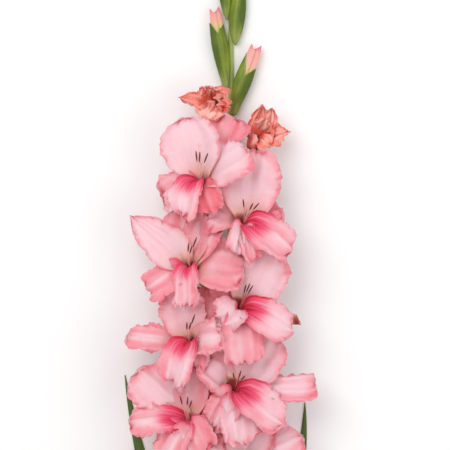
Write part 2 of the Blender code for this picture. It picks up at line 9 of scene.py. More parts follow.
import bpy
import numpy as np
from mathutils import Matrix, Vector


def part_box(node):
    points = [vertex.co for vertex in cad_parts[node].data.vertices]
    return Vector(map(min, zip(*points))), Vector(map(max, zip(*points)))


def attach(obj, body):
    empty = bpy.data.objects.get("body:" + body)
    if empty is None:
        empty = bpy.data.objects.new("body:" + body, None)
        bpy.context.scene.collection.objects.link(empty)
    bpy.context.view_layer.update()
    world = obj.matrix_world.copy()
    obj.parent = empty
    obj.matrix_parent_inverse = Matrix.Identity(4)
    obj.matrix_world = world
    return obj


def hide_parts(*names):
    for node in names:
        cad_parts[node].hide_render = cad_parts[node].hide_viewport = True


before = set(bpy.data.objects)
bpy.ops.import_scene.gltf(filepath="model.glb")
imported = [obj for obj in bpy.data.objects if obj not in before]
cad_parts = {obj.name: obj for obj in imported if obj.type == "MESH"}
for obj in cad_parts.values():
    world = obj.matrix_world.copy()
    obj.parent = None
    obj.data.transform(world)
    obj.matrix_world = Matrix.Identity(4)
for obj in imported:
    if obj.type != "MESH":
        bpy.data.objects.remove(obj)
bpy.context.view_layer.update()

bl_info = {
    "name": "Gladiolus flower spike",
    "version": (1, 0, 0),
    "blender": (4, 5, 0),
    "location": "View3D > Sidebar > Gladiolus",
    "description": "Florets, buds, bracts, leaves and stem of a cut gladiolus, and its stage",
    "category": "Add Mesh",
}

MM = 0.001
STEM_LOW, STEM_HIGH = (np.array(corner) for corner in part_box("stem"))
FOOT = np.array([(STEM_LOW[0] + STEM_HIGH[0]) / 2, STEM_LOW[1], 0.0]) / MM
UP = np.array([0.0, 0.0, 1.0])
RIGHT = np.array([1.0, 0.0, 0.0])

# Stem
STEM_LENGTH = (STEM_HIGH[1] - STEM_LOW[1]) / MM
STEM_FOOT_RADIUS = 5.2
STEM_TOP_RADIUS = 2.6  # where the taper would end without the tip
STEM_TIP_RADIUS = 1.1
SHEATH_LIFT = 1.9  # the leaf sheaths carry the foot of the stem

# Open florets
THROAT_HEIGHT = 56.0
THROAT_DEPTH = 18.0  # from the throat down to the floor of the funnel
THROAT_RISE = 21.0  # how far a tepal heads up the funnel
FUNNEL_ANGLE = math.radians(22)
LIP_ANGLE = math.radians(-16)  # the lower tepals lean over the mouth of the funnel
FLOOR_RADIUS = 4.6
TUBE_RADIUS = 3.3
TUBE_DROP = 42.0  # the tube leaves the stem this far below its throat
TEPAL_CLAW = 4.4  # half width of a tepal where it leaves the tube
FUNNEL_WALL = 1.3
TUBE_CLEARANCE = 2.2  # of the middle of the tube's foot from the stem
TUBE_FOOT = (0.62, 0.0, 0.78)  # way from the stem's middle to the tube's foot
TUBE_START = (0.30, 0.75, 0.62)  # way that the tube sets out
LEFT_AXIS = np.array([-0.28, 0.48, 0.83])
RIGHT_AXIS = np.array([0.12, 0.48, 0.87])

# Waves of a tepal: how many sines go round it or across it, and how high each is
OUTLINE_WAVES = ((2, 5, 9, 16), (0.03, 0.025, 0.02, 0.015))  # as a share of its width
RUFFLE_WAVES = ((4, 7, 11, 15), (0.7, 0.5, 0.35, 0.3))
CRIMP_WAVES = ((21, 29, 36), (0.5, 0.5, 0.4))  # fine ones near the rim
PATCH_WAVES = ((2, 3), (0.6, 0.5))  # where the crimps are higher
PLEAT_WAVES = ((1, 3, 5), (0.7, 0.7, 0.5))
ROLL_WAVES = ((1, 3, 5), (0.6, 0.6, 0.5))  # of the outermost rim
CRUMPLE_WAVES = ((3, 5, 8), (0.8, 0.8, 0.6))
END_WAVES = ((2, 4, 7), (0.6, 0.5, 0.4))  # along the tepal, at its tip
PLEAT_HEIGHT = 1.4
ROLL_HEIGHT = 2.0
END_HEIGHT = 1.4
MIDRIB_DEPTH, MIDRIB_WIDTH = 0.8, 1.2
LAYER_GAP = 1.2  # between neighbours in a funnel
LEAST_HALF_WIDTH = 0.7

Tepal = namedtuple("Tepal", "tip width curl widest point roll cup bow fold ruffle pale blotch worn")
# the fourth field of a floret is how much painted shade darkens its throat and filaments
Floret = namedtuple("Floret", "number throat side dusk anthers tepals")


def tepal(x, y, z, width, curl=-20, widest=0.75, point=0.35, roll=0, cup=0.006, bow=0,
          fold=0, ruffle=3.0, pale=0.5, blotch=0.0, worn=0.0):
    """A tepal whose tip is x, y, z from the throat; curl is the rise of its tip in degrees.

    widest is the share of its length where it is widest, and a greater point makes its tip
    more pointed. roll turns it about its middle line, cup is its curvature across, bow bends
    its middle to one side and fold shuts it along its midrib. ruffle is the height of its
    waves in millimetres, pale is how whitish its middle is (deeper than its body colour below
    0), blotch how red its foot and worn how brown its tip.
    """
    return Tepal(np.array([x, y, z], float), width, math.radians(curl), widest, point,
                 math.radians(roll), cup, bow, math.radians(fold), ruffle, pale, blotch, worn)


FLORETS = [
    Floret(1, (-32, 592), "left", 0.0, [(-3, 27), (1, 26), (9, 25)], [
        tepal(-15, 60, -4, 62, widest=0.64, point=0.45, cup=0.012, ruffle=1.6, pale=1.1),
        tepal(36, 61, -14, 46, widest=0.85, point=0.25, pale=0.0),
        tepal(48, 27, 10, 52, widest=0.74, ruffle=3.6, pale=0.8),
        tepal(13, -34, 14, 32, curl=-50, pale=-0.6),
        tepal(-16, -37, 15, 36, curl=-45, widest=0.72, bow=-6, pale=0.75, blotch=1.0),
        tepal(-38, -18, -8, 46, curl=-25, widest=0.86, point=0.2, pale=0.55),
    ]),
    Floret(2, (14, 551), "right", 0.4, [(-2, 20), (8, 16), (14, 16)], [
        tepal(12, 69, -8, 60, widest=0.66, point=0.4, ruffle=3.6, pale=0.8),
        tepal(-29, 14, -6, 62, widest=0.78, point=0.25, ruffle=4.0, pale=0.35),
        tepal(37, 6, -6, 44, widest=0.7, point=0.4, pale=0.0),
        tepal(46, -33, 8, 42, curl=-35, widest=0.7, point=0.45, blotch=1.0),
        tepal(10, -42, 10, 24, curl=-50, widest=0.7, point=0.4, pale=0.2, blotch=0.5),
        tepal(-8, -35, 8, 26, curl=-50, widest=0.7, point=0.4, pale=0.7),
    ]),
    Floret(3, (-44, 507), "left", 0.1, [(10, 26), (2, 20), (5, 17)], [
        tepal(-1, 53, -10, 52, widest=0.7, point=0.3, pale=0.2),
        tepal(-56, 46, -4, 44, widest=0.45, point=0.9, ruffle=3.4, pale=0.95),
        tepal(27, 49, -12, 42, widest=0.7, point=0.5, roll=15, fold=20, pale=0.3),
        tepal(56, -5, 3, 58, widest=0.72, point=0.3, ruffle=3.2, pale=0.3),
        tepal(-1, -43, 14, 29, curl=-50, point=0.4, pale=0.55, blotch=0.8),
        tepal(-40, -28, 4, 38, curl=-35, widest=0.8, point=0.3, pale=0.05, blotch=0.6),
    ]),
    Floret(4, (10, 465), "right", 0.8, [(5, 21), (9, 22), (12, 20)], [
        tepal(32, 52, -8, 60, widest=0.66, point=0.32, pale=1.0),
        tepal(-20, 40, -9, 46, widest=0.7, pale=0.2),
        tepal(-20, -17, 8, 38, curl=-30, fold=15, pale=0.8),
        tepal(58, -20, -4, 20, widest=0.4, point=0.9, bow=5, pale=0.1, worn=1.0),
        tepal(50, -27, 8, 42, curl=-35, widest=0.7, point=0.6, pale=0.75, blotch=1.0),
        tepal(3, -60, 17, 43, curl=-50, ruffle=2.8, pale=0.35),
    ]),
    Floret(5, (-44, 432), "left", 0.1, [(8, 24), (0, 16), (4, 16)], [
        tepal(-8, 50, -7, 48, widest=0.66, point=0.4, pale=0.7),
        tepal(20, 50, -15, 42, pale=0.0),
        tepal(-58, 3, -3, 32, widest=0.88, point=0.12, ruffle=3.6, pale=0.35),
        tepal(34, 3, 21, 42, point=0.3, ruffle=3.2, pale=0.45),
        tepal(12, -31, 12, 30, curl=-50, pale=0.25),
        tepal(-14, -44, 13, 40, curl=-50, point=0.4, fold=15, pale=0.6, blotch=1.0),
    ]),
    Floret(6, (5, 383), "right", 1.0, [(-3, 15), (5, 17), (9, 12)], [
        tepal(36, 51, -8, 58, widest=0.66, pale=0.95),
        tepal(-34, 22, 8, 44, fold=20, pale=0.6),
        tepal(79, 0, -4, 33, widest=0.88, point=0.15, ruffle=4.2, pale=0.55),
        tepal(45, -36, 9, 46, curl=-35, widest=0.7, point=0.45, pale=0.6, blotch=1.0),
        tepal(8, -55, 12, 44, curl=-50, widest=0.72, point=0.4, pale=0.7),
        tepal(-22, -38, 9, 36, curl=-45, widest=0.72, pale=0.3),
    ]),
    Floret(7, (-45, 353), "left", 0.3, [(-6, 22), (2, 21), (6, 17)], [
        tepal(2, 50, -7, 50, widest=0.7, point=0.4, pale=0.3),
        tepal(26, 34, -12, 38, pale=-0.4),
        tepal(-49, 44, -5, 50, point=0.3, ruffle=4.4, pale=0.8),
        tepal(-55, -6, 3, 36, curl=-30, blotch=1.0),
        tepal(-22, -42, 13, 38, curl=-50, point=0.4, pale=0.3, blotch=0.4),
        tepal(16, -34, 12, 40, curl=-50, point=0.4, ruffle=3.8, pale=0.1),
    ]),
    Floret(8, (9, 305), "right", 0.5, [(0, 12), (6, 12), (10, 9)], [
        tepal(18, 51, -8, 50, widest=0.7, point=0.4, pale=0.8),
        tepal(62, 26, -6, 44, widest=0.78, point=0.3, ruffle=2.8, pale=0.6),
        tepal(-34, 16, 5, 40, widest=0.8, point=0.3, pale=0.4),
        tepal(50, -26, 7, 44, curl=-35, widest=0.7, point=0.45, blotch=1.0),
        tepal(10, -46, 11, 38, curl=-50, point=0.4, pale=0.3),
        tepal(-22, -34, 12, 30, curl=-45, point=0.4, pale=0.3, blotch=0.4),
    ]),
    Floret(9, (-43, 268), "left", 0.2, [(-2, 22), (3, 21), (8, 18)], [
        tepal(-10, 52, -7, 50, widest=0.7, point=0.4, pale=0.9),
        tepal(33, 73, -20, 34, pale=0.2),
        tepal(-56, 20, -4, 44, point=0.3, pale=0.3),
        tepal(46, -4, 0, 46, pale=0.4),
        tepal(10, -44, 13, 36, curl=-50, point=0.4, pale=0.4, blotch=0.5),
        tepal(-34, -34, 11, 38, curl=-45, point=0.4, pale=0.3, blotch=1.0),
    ]),
]

# Threads: radius, radius and share of the thicker end, and whether that end is an anther
STAMEN_THREAD = (0.4, 0.7, 0.3, True)
STYLE_THREAD = (0.4, 0.5, 0.04, False)
STIGMA_THREAD = (0.25, 0.5, 0.5, False)
ANTHER_HEIGHT = 14.0  # above the throat
STIGMA_OFFSET = (-1.0, 6.0, -2.0)  # from the middle anther's tip
STIGMA_ARM = 3.2
STIGMA_TURN = 0.9  # angle between its arms
COLUMN_RADIUS, COLUMN_LENGTH = 2.0, 3.0
COLUMN_LIFT = 2.6  # of the column above the floor of the funnel

# Bracts: start and end along the tube, half angle, radius, whether towards the stem, thickness
OUTER_BRACT = (0.10, 0.70, math.radians(100), 6.4, False, 0.7)
INNER_BRACT = (0.16, 0.56, math.radians(62), 5.3, True, 0.6)
LONE_BRACT = (0.16, 0.80, math.radians(100), 5.6, False, 0.7)  # of a half-open floret

# Florets that are just opening: side, throat, axis and tepals
HALF_OPEN_DEPTH = 12.0
HALF_OPEN_DROP = 30.0
HALF_OPEN_TUBE_RADIUS = 2.6
HALF_OPEN_CRUMPLE = 1.2
HALF_OPEN = [
    ("left", (-15, 664, 28), (-0.30, 0.38, 0.87), [
        tepal(-35, 7, 2, 20, curl=15, widest=0.5, point=0.9, fold=25, ruffle=3.2, pale=0.1),
        tepal(-8, 18, 4, 28, curl=30, widest=0.62, point=0.5, ruffle=3.6, pale=0.1),
        tepal(13, 10, 6, 30, curl=40, widest=0.62, point=0.5, ruffle=3.6, pale=0.1),
        tepal(-6, -16, 8, 32, curl=10, widest=0.62, point=0.5, ruffle=3.4, pale=0.8),
        tepal(5, 5, 13, 26, curl=60, widest=0.62, point=0.5, ruffle=4.2, pale=0.3),
        tepal(-6, 3, 12, 26, curl=60, widest=0.62, point=0.5, ruffle=4.2, pale=0.2),
    ]),
    ("right", (25, 629, 27), (0.24, 0.52, 0.82), [
        tepal(4, 35, 4, 22, curl=15, widest=0.62, point=1.0, fold=20, ruffle=2.6, pale=0.3),
        tepal(15, 30, 4, 26, curl=20, widest=0.62, point=0.9, pale=0.3),
        tepal(32, 7, 2, 28, curl=0, widest=0.62, point=0.9, fold=20, ruffle=2.6, pale=0.4),
        tepal(8, 19, 11, 28, curl=45, widest=0.62, point=0.5, ruffle=3.4),
        tepal(-6, 2, 8, 26, curl=30, widest=0.62, point=0.5, pale=0.6),
        tepal(13, -7, 6, 28, curl=10, widest=0.62, point=0.5, pale=0.35),
    ]),
]

# Leaves
LEAF_THICKNESS = 1.2
SHEATH_WALL = 1.1
SHEATH_LENGTH = 46.0
SHEATH_FOOT = 6.0  # of the sheath below the foot of its blade
SHEATH_SPAN = math.radians(168)  # half of its way round the stem
GAP = 0.35  # between the sheath and the stem
Leaf = namedtuple("Leaf", "name side foot reach tip width")
LEAVES = [
    Leaf("leaf_left", -1, 16.0, (-80, 215), (-108, 392), 23.0),
    Leaf("leaf_right", 1, 70.0, (76, 240), (75.5, 364), 21.0),
    Leaf("leaf_short", -1, 124.0, (-24, 175), (-46, 262), 15.0),
]

# Buds: foot and tip on the plan, height of the middle, half width, half depth and mouth
Bud = namedtuple("Bud", "name foot tip height width depth mouth")
PINK_BUDS = [
    Bud("left", (-5.0, 683), (-17.5, 767), 8.4, 8.6, 6.0, 0.67),
    Bud("right", (2.8, 656), (26, 729), 9.4, 9.2, 6.2, 0.55),
]
TIP_BUDS = [
    Bud("tip_bud_1", (4.6, 728), (12, 808), 7.4, 8.3, 5.4, 1),
    Bud("tip_bud_2", (-4.0, 754), (-11, 826), 6.8, 6.2, 4.6, 1),
    Bud("tip_bud_3", (3.0, 796), (8, 848), 5.4, 4.8, 3.6, 1),
    Bud("tip_bud_4", (-2.6, 818), (-5.5, 858), 4.6, 3.6, 2.9, 1),
    Bud("tip_bud_5", (2.6, 838), (2.6, 866), 4.2, 2.6, 2.2, 1),
]
SPATHE_THICKNESS = 0.6
FURLED_THICKNESS = 0.45  # of the furled petals

# Middle of the picture on the plan, and what it takes in
VIEW_MIDDLE = (-6.0, 545.0, 60.0)
VIEW_WIDTH = 450.0
VIEW_DISTANCE = 3000.0
SENSOR_WIDTH = 36.0

# Stage: half the floor's side in metres; for each lamp its place from the middle of the
# picture and its size in metres, its share of the key light and its tint
FLOOR_REACH = 6.0
LAMPS = {
    "key": ((-0.6, 0.75, 1.75), 1.3, 1.0, (1.0, 0.99, 0.98)),
    "side": ((1.3, -0.5, 1.3), 1.6, 0.45, (0.98, 0.99, 1.0)),
}

# Finishes: how far red, green and blue light spread in petals and in green skin
FLESH = (1.6 * MM, 0.7 * MM, 0.55 * MM)
SAP = (0.5 * MM, 0.9 * MM, 0.25 * MM)
ROUGHNESS_SPREAD = 0.2
WITHERED = (0.22, 0.11, 0.04)  # tips of bracts and leaves
BARE = (0.56, 0.58, 0.30)  # cut end of the stem, feet of spathes
FILAMENT = (0.86, 0.50, 0.46)
# painted shade: colour of a filament in a shaded throat
SHADED_FILAMENT = (0.36, 0.02, 0.03)
POLLEN = (0.42, 0.26, 0.24)
STIGMA = (0.84, 0.44, 0.46)


# ---- numbers

def unit(vectors):
    """Vectors of length one."""
    return vectors / np.linalg.norm(vectors, axis=-1, keepdims=True)


def rightwards(along):
    """Directions square to others, to their right."""
    return unit(RIGHT - along * (along @ RIGHT)[..., None])


def rise(x, low, high):
    """0 below low and 1 above high, with a smooth step between."""
    k = np.clip((x - low) / (high - low), 0.0, 1.0)
    return k * k * (3 - 2 * k)


def bezier(points, s):
    """Places and directions along a cubic Bezier curve."""
    p0, p1, p2, p3 = (np.asarray(p, float) for p in points)
    s = np.asarray(s, float)[..., None]
    place = (1 - s) ** 3 * p0 + 3 * (1 - s) ** 2 * s * p1 + 3 * (1 - s) * s ** 2 * p2 + s ** 3 * p3
    along = (1 - s) ** 2 * (p1 - p0) + 2 * (1 - s) * s * (p2 - p1) + s ** 2 * (p3 - p2)
    return place, unit(along)


def waves(x, counts, weights, seed):
    """A sum of sines with seeded phases: weight times sin(count x + phase)."""
    phases = np.random.default_rng(seed).uniform(0, 2 * math.pi, len(counts))
    return sum(w * np.sin(k * x + p) for k, w, p in zip(counts, weights, phases))


def stem_radius(y):
    """The stem tapers evenly, and then fast to its tip with the eighth power of the length."""
    share = np.asarray(y) / STEM_LENGTH
    even = (STEM_FOOT_RADIUS - STEM_TOP_RADIUS) * share
    return STEM_FOOT_RADIUS - (even + (STEM_TOP_RADIUS - STEM_TIP_RADIUS) * share ** 8)


def stem_centre(y):
    """Middle of the stem: it lies on the surface, on the leaf sheaths at its foot."""
    y = np.asarray(y, float)
    height = stem_radius(y) + SHEATH_LIFT * (1 - rise(y, 150.0, 300.0))
    return np.stack([np.zeros_like(y), y, height], axis=-1)


# ---- meshes

Body = namedtuple("Body", "points masks quads quad_uv tris tri_uv")


def grid_faces(rows, columns, closed=False):
    """Quads between the points of a grid and the grid places of their corners."""
    steps = columns if closed else columns - 1
    i, j = (index.reshape(-1) for index in np.mgrid[0:rows - 1, 0:steps])
    places = np.stack([[i, j], [i + 1, j], [i + 1, j + 1], [i, j + 1]]).transpose(2, 0, 1)
    quads = places[..., 0] * columns + places[..., 1] % columns
    return quads, places


def sheet(grid, thickness, masks):
    """A closed skin round a grid of points.

    Its faces lie half the thickness to either side of the grid and a strip of quads joins
    them round the rim. Its map runs across it from 0 to 1 and along it from 0 to 1.
    """
    rows, columns = grid.shape[:2]
    normal = unit(np.cross(np.gradient(grid, axis=0), np.gradient(grid, axis=1)))
    offset = normal * (np.broadcast_to(thickness, (rows, columns)) / 2)[..., None]
    points = np.concatenate([(grid + offset).reshape(-1, 3), (grid - offset).reshape(-1, 3)])
    count = rows * columns
    quads, _ = grid_faces(rows, columns)
    number = np.arange(count).reshape(rows, columns)
    rim = np.concatenate([number[:, 0], number[-1, 1:], number[-2::-1, -1], number[0, -2:0:-1]])
    follow = np.roll(rim, -1)
    strip = np.stack([follow, rim, rim + count, follow + count], axis=-1)
    quads = np.concatenate([quads, quads[:, ::-1] + count, strip])
    i, j = np.mgrid[0:rows, 0:columns]
    flat = np.stack([j / (columns - 1), i / (rows - 1)], axis=-1).reshape(-1, 2)
    flat = np.tile(flat, (2, 1))
    masks = np.tile(masks.reshape(-1, 4), (2, 1))
    none = np.zeros((0, 3), int)
    return Body(points, masks, quads, flat[quads], none, np.zeros((0, 3, 2)))


def tinted(shape, *tints):
    """The four tints of each point of a grid; those not given are 0."""
    masks = np.zeros((*shape, 4))
    for k, tint in enumerate(tints):
        masks[..., k] = tint
    return masks


def swept(places, along, widths, depths, sides, ribs=0.0, rib_count=0, masks=None):
    """A closed body of elliptical rings along a path, with a point at the middle of each end.

    ribs is the share of the radius by which a cosine round the ring raises rib_count
    lengthwise ribs.
    """
    across = rightwards(along)
    up = np.cross(across, along)
    angle = np.arange(sides) * 2 * math.pi / sides
    swell = 1 + ribs * np.cos(rib_count * angle)
    ring = across[:, None] * (swell * np.cos(angle))[:, None] * np.asarray(widths)[:, None, None]
    ring = ring + up[:, None] * (swell * np.sin(angle))[:, None] * np.asarray(depths)[:, None, None]
    rows = len(places)
    points = np.concatenate([(places[:, None] + ring).reshape(-1, 3), places[:1], places[-1:]])
    quads, corners = grid_faces(rows, sides, closed=True)
    scale = np.array([1 / sides, 1 / (rows - 1)])
    quad_uv = corners[..., ::-1] * scale
    j = np.arange(sides)
    k = (j + 1) % sides
    last = (rows - 1) * sides
    foot = np.stack([j, k, np.full(sides, rows * sides)], axis=-1)
    top = np.stack([last + k, last + j, np.full(sides, rows * sides + 1)], axis=-1)
    low = np.stack([np.stack([j, 0 * j], 1), np.stack([j + 1, 0 * j], 1), np.stack([j, 0 * j], 1)], 1)
    tri_uv = np.concatenate([low * scale, low * scale + [0, 1]])
    if masks is None:
        masks = np.zeros((rows, 4))
    masks = np.concatenate([np.repeat(masks, sides, axis=0), masks[:1], masks[-1:]])
    return Body(points, masks, quads, quad_uv, np.concatenate([foot, top]), tri_uv)


def make(name, bodies, material, replaced):
    """One piece of the spike from its bodies, in the place of its CAD node."""
    starts = np.cumsum([0] + [len(body.points) for body in bodies[:-1]])
    points = (np.concatenate([body.points for body in bodies]) + FOOT) * MM
    masks = np.concatenate([body.masks for body in bodies])
    quads = np.concatenate([body.quads + start for body, start in zip(bodies, starts)])
    tris = np.concatenate([body.tris + start for body, start in zip(bodies, starts)])
    corners = np.concatenate([quads.reshape(-1), tris.reshape(-1)])
    maps = [body.quad_uv.reshape(-1, 2) for body in bodies]
    maps += [body.tri_uv.reshape(-1, 2) for body in bodies]
    sizes = np.concatenate([np.full(len(quads), 4), np.full(len(tris), 3)])
    mesh = bpy.data.meshes.new(name)
    mesh.vertices.add(len(points))
    mesh.vertices.foreach_set("co", points.astype(np.float32).reshape(-1))
    mesh.loops.add(len(corners))
    mesh.loops.foreach_set("vertex_index", corners.astype(np.int32))
    mesh.polygons.add(len(sizes))
    mesh.polygons.foreach_set("loop_start", (np.cumsum(sizes) - sizes).astype(np.int32))
    mesh.update(calc_edges=True)
    mesh.shade_smooth()
    tints = mesh.attributes.new("tints", "FLOAT_COLOR", "POINT")
    tints.data.foreach_set("color", masks.astype(np.float32).reshape(-1))
    layout = mesh.uv_layers.new(name="surface")
    layout.data.foreach_set("uv", np.concatenate(maps).astype(np.float32).reshape(-1))
    mesh.validate()
    mesh.materials.append(material)
    made = bpy.data.objects.new(name, mesh)
    bpy.context.scene.collection.objects.link(made)
    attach(made, "root")
    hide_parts(replaced)


# ---- finishes

class Wire:
    """A socket in a material's node tree, on which + - * / and ** add Math nodes."""

    def __init__(self, tree, socket=None):
        self.tree = tree
        self.socket = socket

    def node(self, kind, settings, inputs, output=0):
        """Adds a node: its settings first, then the values or wires of its inputs."""
        made = self.tree.nodes.new("ShaderNode" + kind)
        for key, value in settings.items():
            setattr(made, key, value)
        for key, value in inputs.items():
            if isinstance(value, Wire):
                self.tree.links.new(value.socket, made.inputs[key])
            else:
                made.inputs[key].default_value = value
        return Wire(self.tree, made.outputs[output])

    def math(self, operation, first, second):
        return self.node("Math", {"operation": operation}, {0: first, 1: second})

    def __add__(self, other):
        return self.math("ADD", self, other)

    def __sub__(self, other):
        return self.math("SUBTRACT", self, other)

    def __rsub__(self, other):
        return self.math("SUBTRACT", other, self)

    def __mul__(self, other):
        return self.math("MULTIPLY", self, other)

    def __pow__(self, other):
        return self.math("POWER", self, other)

    __radd__ = __add__
    __rmul__ = __mul__

    def step(self, low, high, to_low=0.0, to_high=1.0):
        """to_low below low and to_high above high, with a smooth step between."""
        return self.node("MapRange", {"interpolation_type": "SMOOTHSTEP"},
                         {"Value": self, "From Min": low, "From Max": high,
                          "To Min": to_low, "To Max": to_high})

    def mix(self, low, high):
        """A colour that goes from low to high as this goes from 0 to 1."""
        low, high = ((*c, 1.0) if isinstance(c, tuple) else c for c in (low, high))
        return self.node("Mix", {"data_type": "RGBA"}, {0: self, 6: low, 7: high}, 2)

    def stretched(self, x, y):
        """This vector with two of its axes scaled."""
        return self.node("VectorMath", {"operation": "MULTIPLY"}, {0: self, 1: (x, y, 1.0)})

    def noise(self, scale, detail=2.0):
        """Noise from 0 to 1 on this vector."""
        return self.node("TexNoise", {"noise_dimensions": "3D"},
                         {"Vector": self, "Scale": scale, "Detail": detail})


def colour(values):
    """A colour of the settings as a plain tuple."""
    return tuple(float(v) for v in values)


def finish(name, roughness, subsurface, radius, sheen, paint):
    """A Principled material; paint(start) gives its colour, its roughness and its height."""
    made = bpy.data.materials.get(name)
    if made:
        return made
    made = bpy.data.materials.new(name)
    made.use_nodes = True
    tree = made.node_tree
    shader = tree.nodes["Principled BSDF"]
    for key, value in (("Subsurface Weight", subsurface), ("Subsurface Radius", radius),
                       ("Subsurface Scale", 1.0), ("Sheen Weight", sheen),
                       ("Sheen Roughness", 0.4), ("Specular IOR Level", 0.28)):
        shader.inputs[key].default_value = value
    start = Wire(tree)
    base, uneven, height = paint(start)
    tree.links.new(base.socket, shader.inputs["Base Color"])
    rough = uneven * ROUGHNESS_SPREAD + (roughness - ROUGHNESS_SPREAD / 2)
    tree.links.new(rough.socket, shader.inputs["Roughness"])
    bump = start.node("Bump", {}, {"Strength": 0.5, "Distance": 0.4 * MM, "Height": height})
    tree.links.new(bump.socket, shader.inputs["Normal"])
    return made


def readings(start):
    """The map of a piece, its place, and its four tints."""
    flat = start.node("UVMap", {"uv_map": "surface"}, {})
    place = start.node("TexCoord", {}, {}, 3)
    tints = start.node("Attribute", {"attribute_name": "tints"}, {})
    parts = [start.node("SeparateColor", {}, {0: tints}, k) for k in range(3)]
    parts.append(start.node("Attribute", {"attribute_name": "tints"}, {}, 3))
    return flat, place, parts


def petal_paint(settings, body, whitish, rim, deeper, throat):
    """Colour of a tepal: whitish in its middle, deeper at its rim, red at its foot, with painted
    light and shade where it folds and in the funnel.

    The tints are how whitish, how red, how near the tube and how near the rim a place is.
    Painted highlights on pleat ridges and shade in their valleys go into the first, painted
    shade along creases into the second and painted shade in the valleys of the ruffles into
    the fourth. Below 0 the first goes to the deeper colour, partly painted shade on tepals in
    shade, and above 1 the third to the depth colour: painted shade at the floor of the funnel,
    and the brown of a withered tip.
    """
    def paint(start):
        flat, place, (pale, red, deep, edge) = readings(start)
        veins = flat.stretched(60.0, 2.2).noise(1.0)
        streaks = flat.stretched(9.0, 1.1).noise(1.0, 3.0)
        clouds = place.noise(45.0)
        # below 0 the pale tint gives the deeper colour, partly painted shade
        base = (0.0 - pale).step(0.0, 0.8).mix(body, deeper)
        fade = (pale + (streaks - 0.5) * 0.35 + (clouds - 0.5) * 0.8).step(0.1, 1.0)
        base = fade.mix(base, whitish)
        crinkle = (edge ** 3) * (veins - 0.5) * 1.6
        flushed = (edge + (clouds - 0.5) * 1.2 + crinkle).step(0.75, 1.45)
        base = (flushed * (0.75 - 0.5 * pale.step(0.0, 1.0))).mix(base, rim)
        base = (deep * (1.1 - 0.4 * streaks)).step(0.0, 1.0).mix(base, throat)
        # painted shade at the floor of the funnel; the same colour browns a withered tip
        base = deep.step(1.0, 1.7).mix(base, colour(settings.depth))
        stain = red * (1.0 + (streaks - 0.5) * 2.4 + (veins - 0.5) * 1.2)
        base = stain.step(0.0, 0.55).mix(base, colour(settings.flush))
        base = stain.step(0.3, 0.85).mix(base, colour(settings.blotch))
        base = stain.step(0.9, 1.35).mix(base, colour(settings.crimson))
        base = (veins.step(0.5, 0.75) * 0.12).mix(base, rim)
        line = edge.step(0.82, 1.0) * (0.25 + 0.5 * clouds) * pale.step(0.0, 1.0, 1.0, 0.4)
        base = line.mix(base, rim)
        height = veins * 0.6 + place.noise(900.0) * 0.25 + streaks * 1.6
        return base, place.noise(160.0), height

    return paint


def green_paint(low, high, edge_colour, streak_count, coarse):
    """Colour of a green piece: lengthwise streaks between two greens, with its own edge.

    The tints are how near the edge, how withered, how bare of green and how much painted shade
    darkens the side of a spathe away from the stem. coarse is the height of the fibres.
    """
    def paint(start):
        flat, place, (edge, tip, bare, flank_shade) = readings(start)
        fibres = flat.stretched(streak_count, 1.5).noise(1.0, 3.0)
        broad = flat.stretched(streak_count * 0.25, 1.0).noise(1.0)
        clouds = place.noise(60.0, 3.0)
        # painted shade: the fourth tint darkens the green on the side away from the stem
        light = (fibres - 0.5) * 0.7 + (broad - 0.5) * 0.8 + (clouds - 0.5) * 0.8 + 0.55 - flank_shade
        base = light.step(0.1, 0.9).mix(low, high)
        base = (edge + (fibres - 0.5) * 0.4).step(0.35, 1.0).mix(base, edge_colour)
        base = (tip * (0.6 + 0.8 * clouds)).mix(base, WITHERED)
        base = bare.mix(base, BARE)
        height = fibres * coarse + place.noise(1200.0) * 0.2
        return base, clouds, height

    return paint


def stamen_paint(settings):
    """Rosy filament, painted darker with shade in a shaded throat, dark anther dusted with pollen,
    rosy stigma, told apart by tints.
    """
    def paint(start):
        _, place, (anther, stigma, dusk, _) = readings(start)
        grain = place.noise(1500.0)
        # painted shade: filaments darker in a shaded throat
        base = dusk.mix(FILAMENT, SHADED_FILAMENT)
        base = anther.mix(base, colour(settings.anther))
        base = (anther * grain.step(0.6, 0.8) * 0.4).mix(base, POLLEN)
        base = stigma.mix(base, STIGMA)
        return base, grain, grain

    return paint


def petal_finish(settings, name, roughness, subsurface, *keys):
    """A finish of petals; keys name the colours of body, middle, rim, deepest tepals and foot."""
    paint = petal_paint(settings, *(colour(getattr(settings, key)) for key in keys))
    return finish(name, roughness, subsurface, FLESH, 0.05, paint)


def green_finish(settings, name, roughness, subsurface, edge_colour, streak_count, coarse):
    """A finish of green pieces, in the two greens of that name."""
    low, high = (colour(getattr(settings, key)) for key in (name, name + "_light"))
    paint = green_paint(low, high, edge_colour, streak_count, coarse)
    return finish(name + "_skin", roughness, subsurface, SAP, 0.0, paint)


def bract_finish(settings):
    """The finish that bracts, spathes and green buds share."""
    return green_finish(settings, "bract", 0.38, 0.2, (0.42, 0.50, 0.19), 46.0, 0.6)


# ---- florets

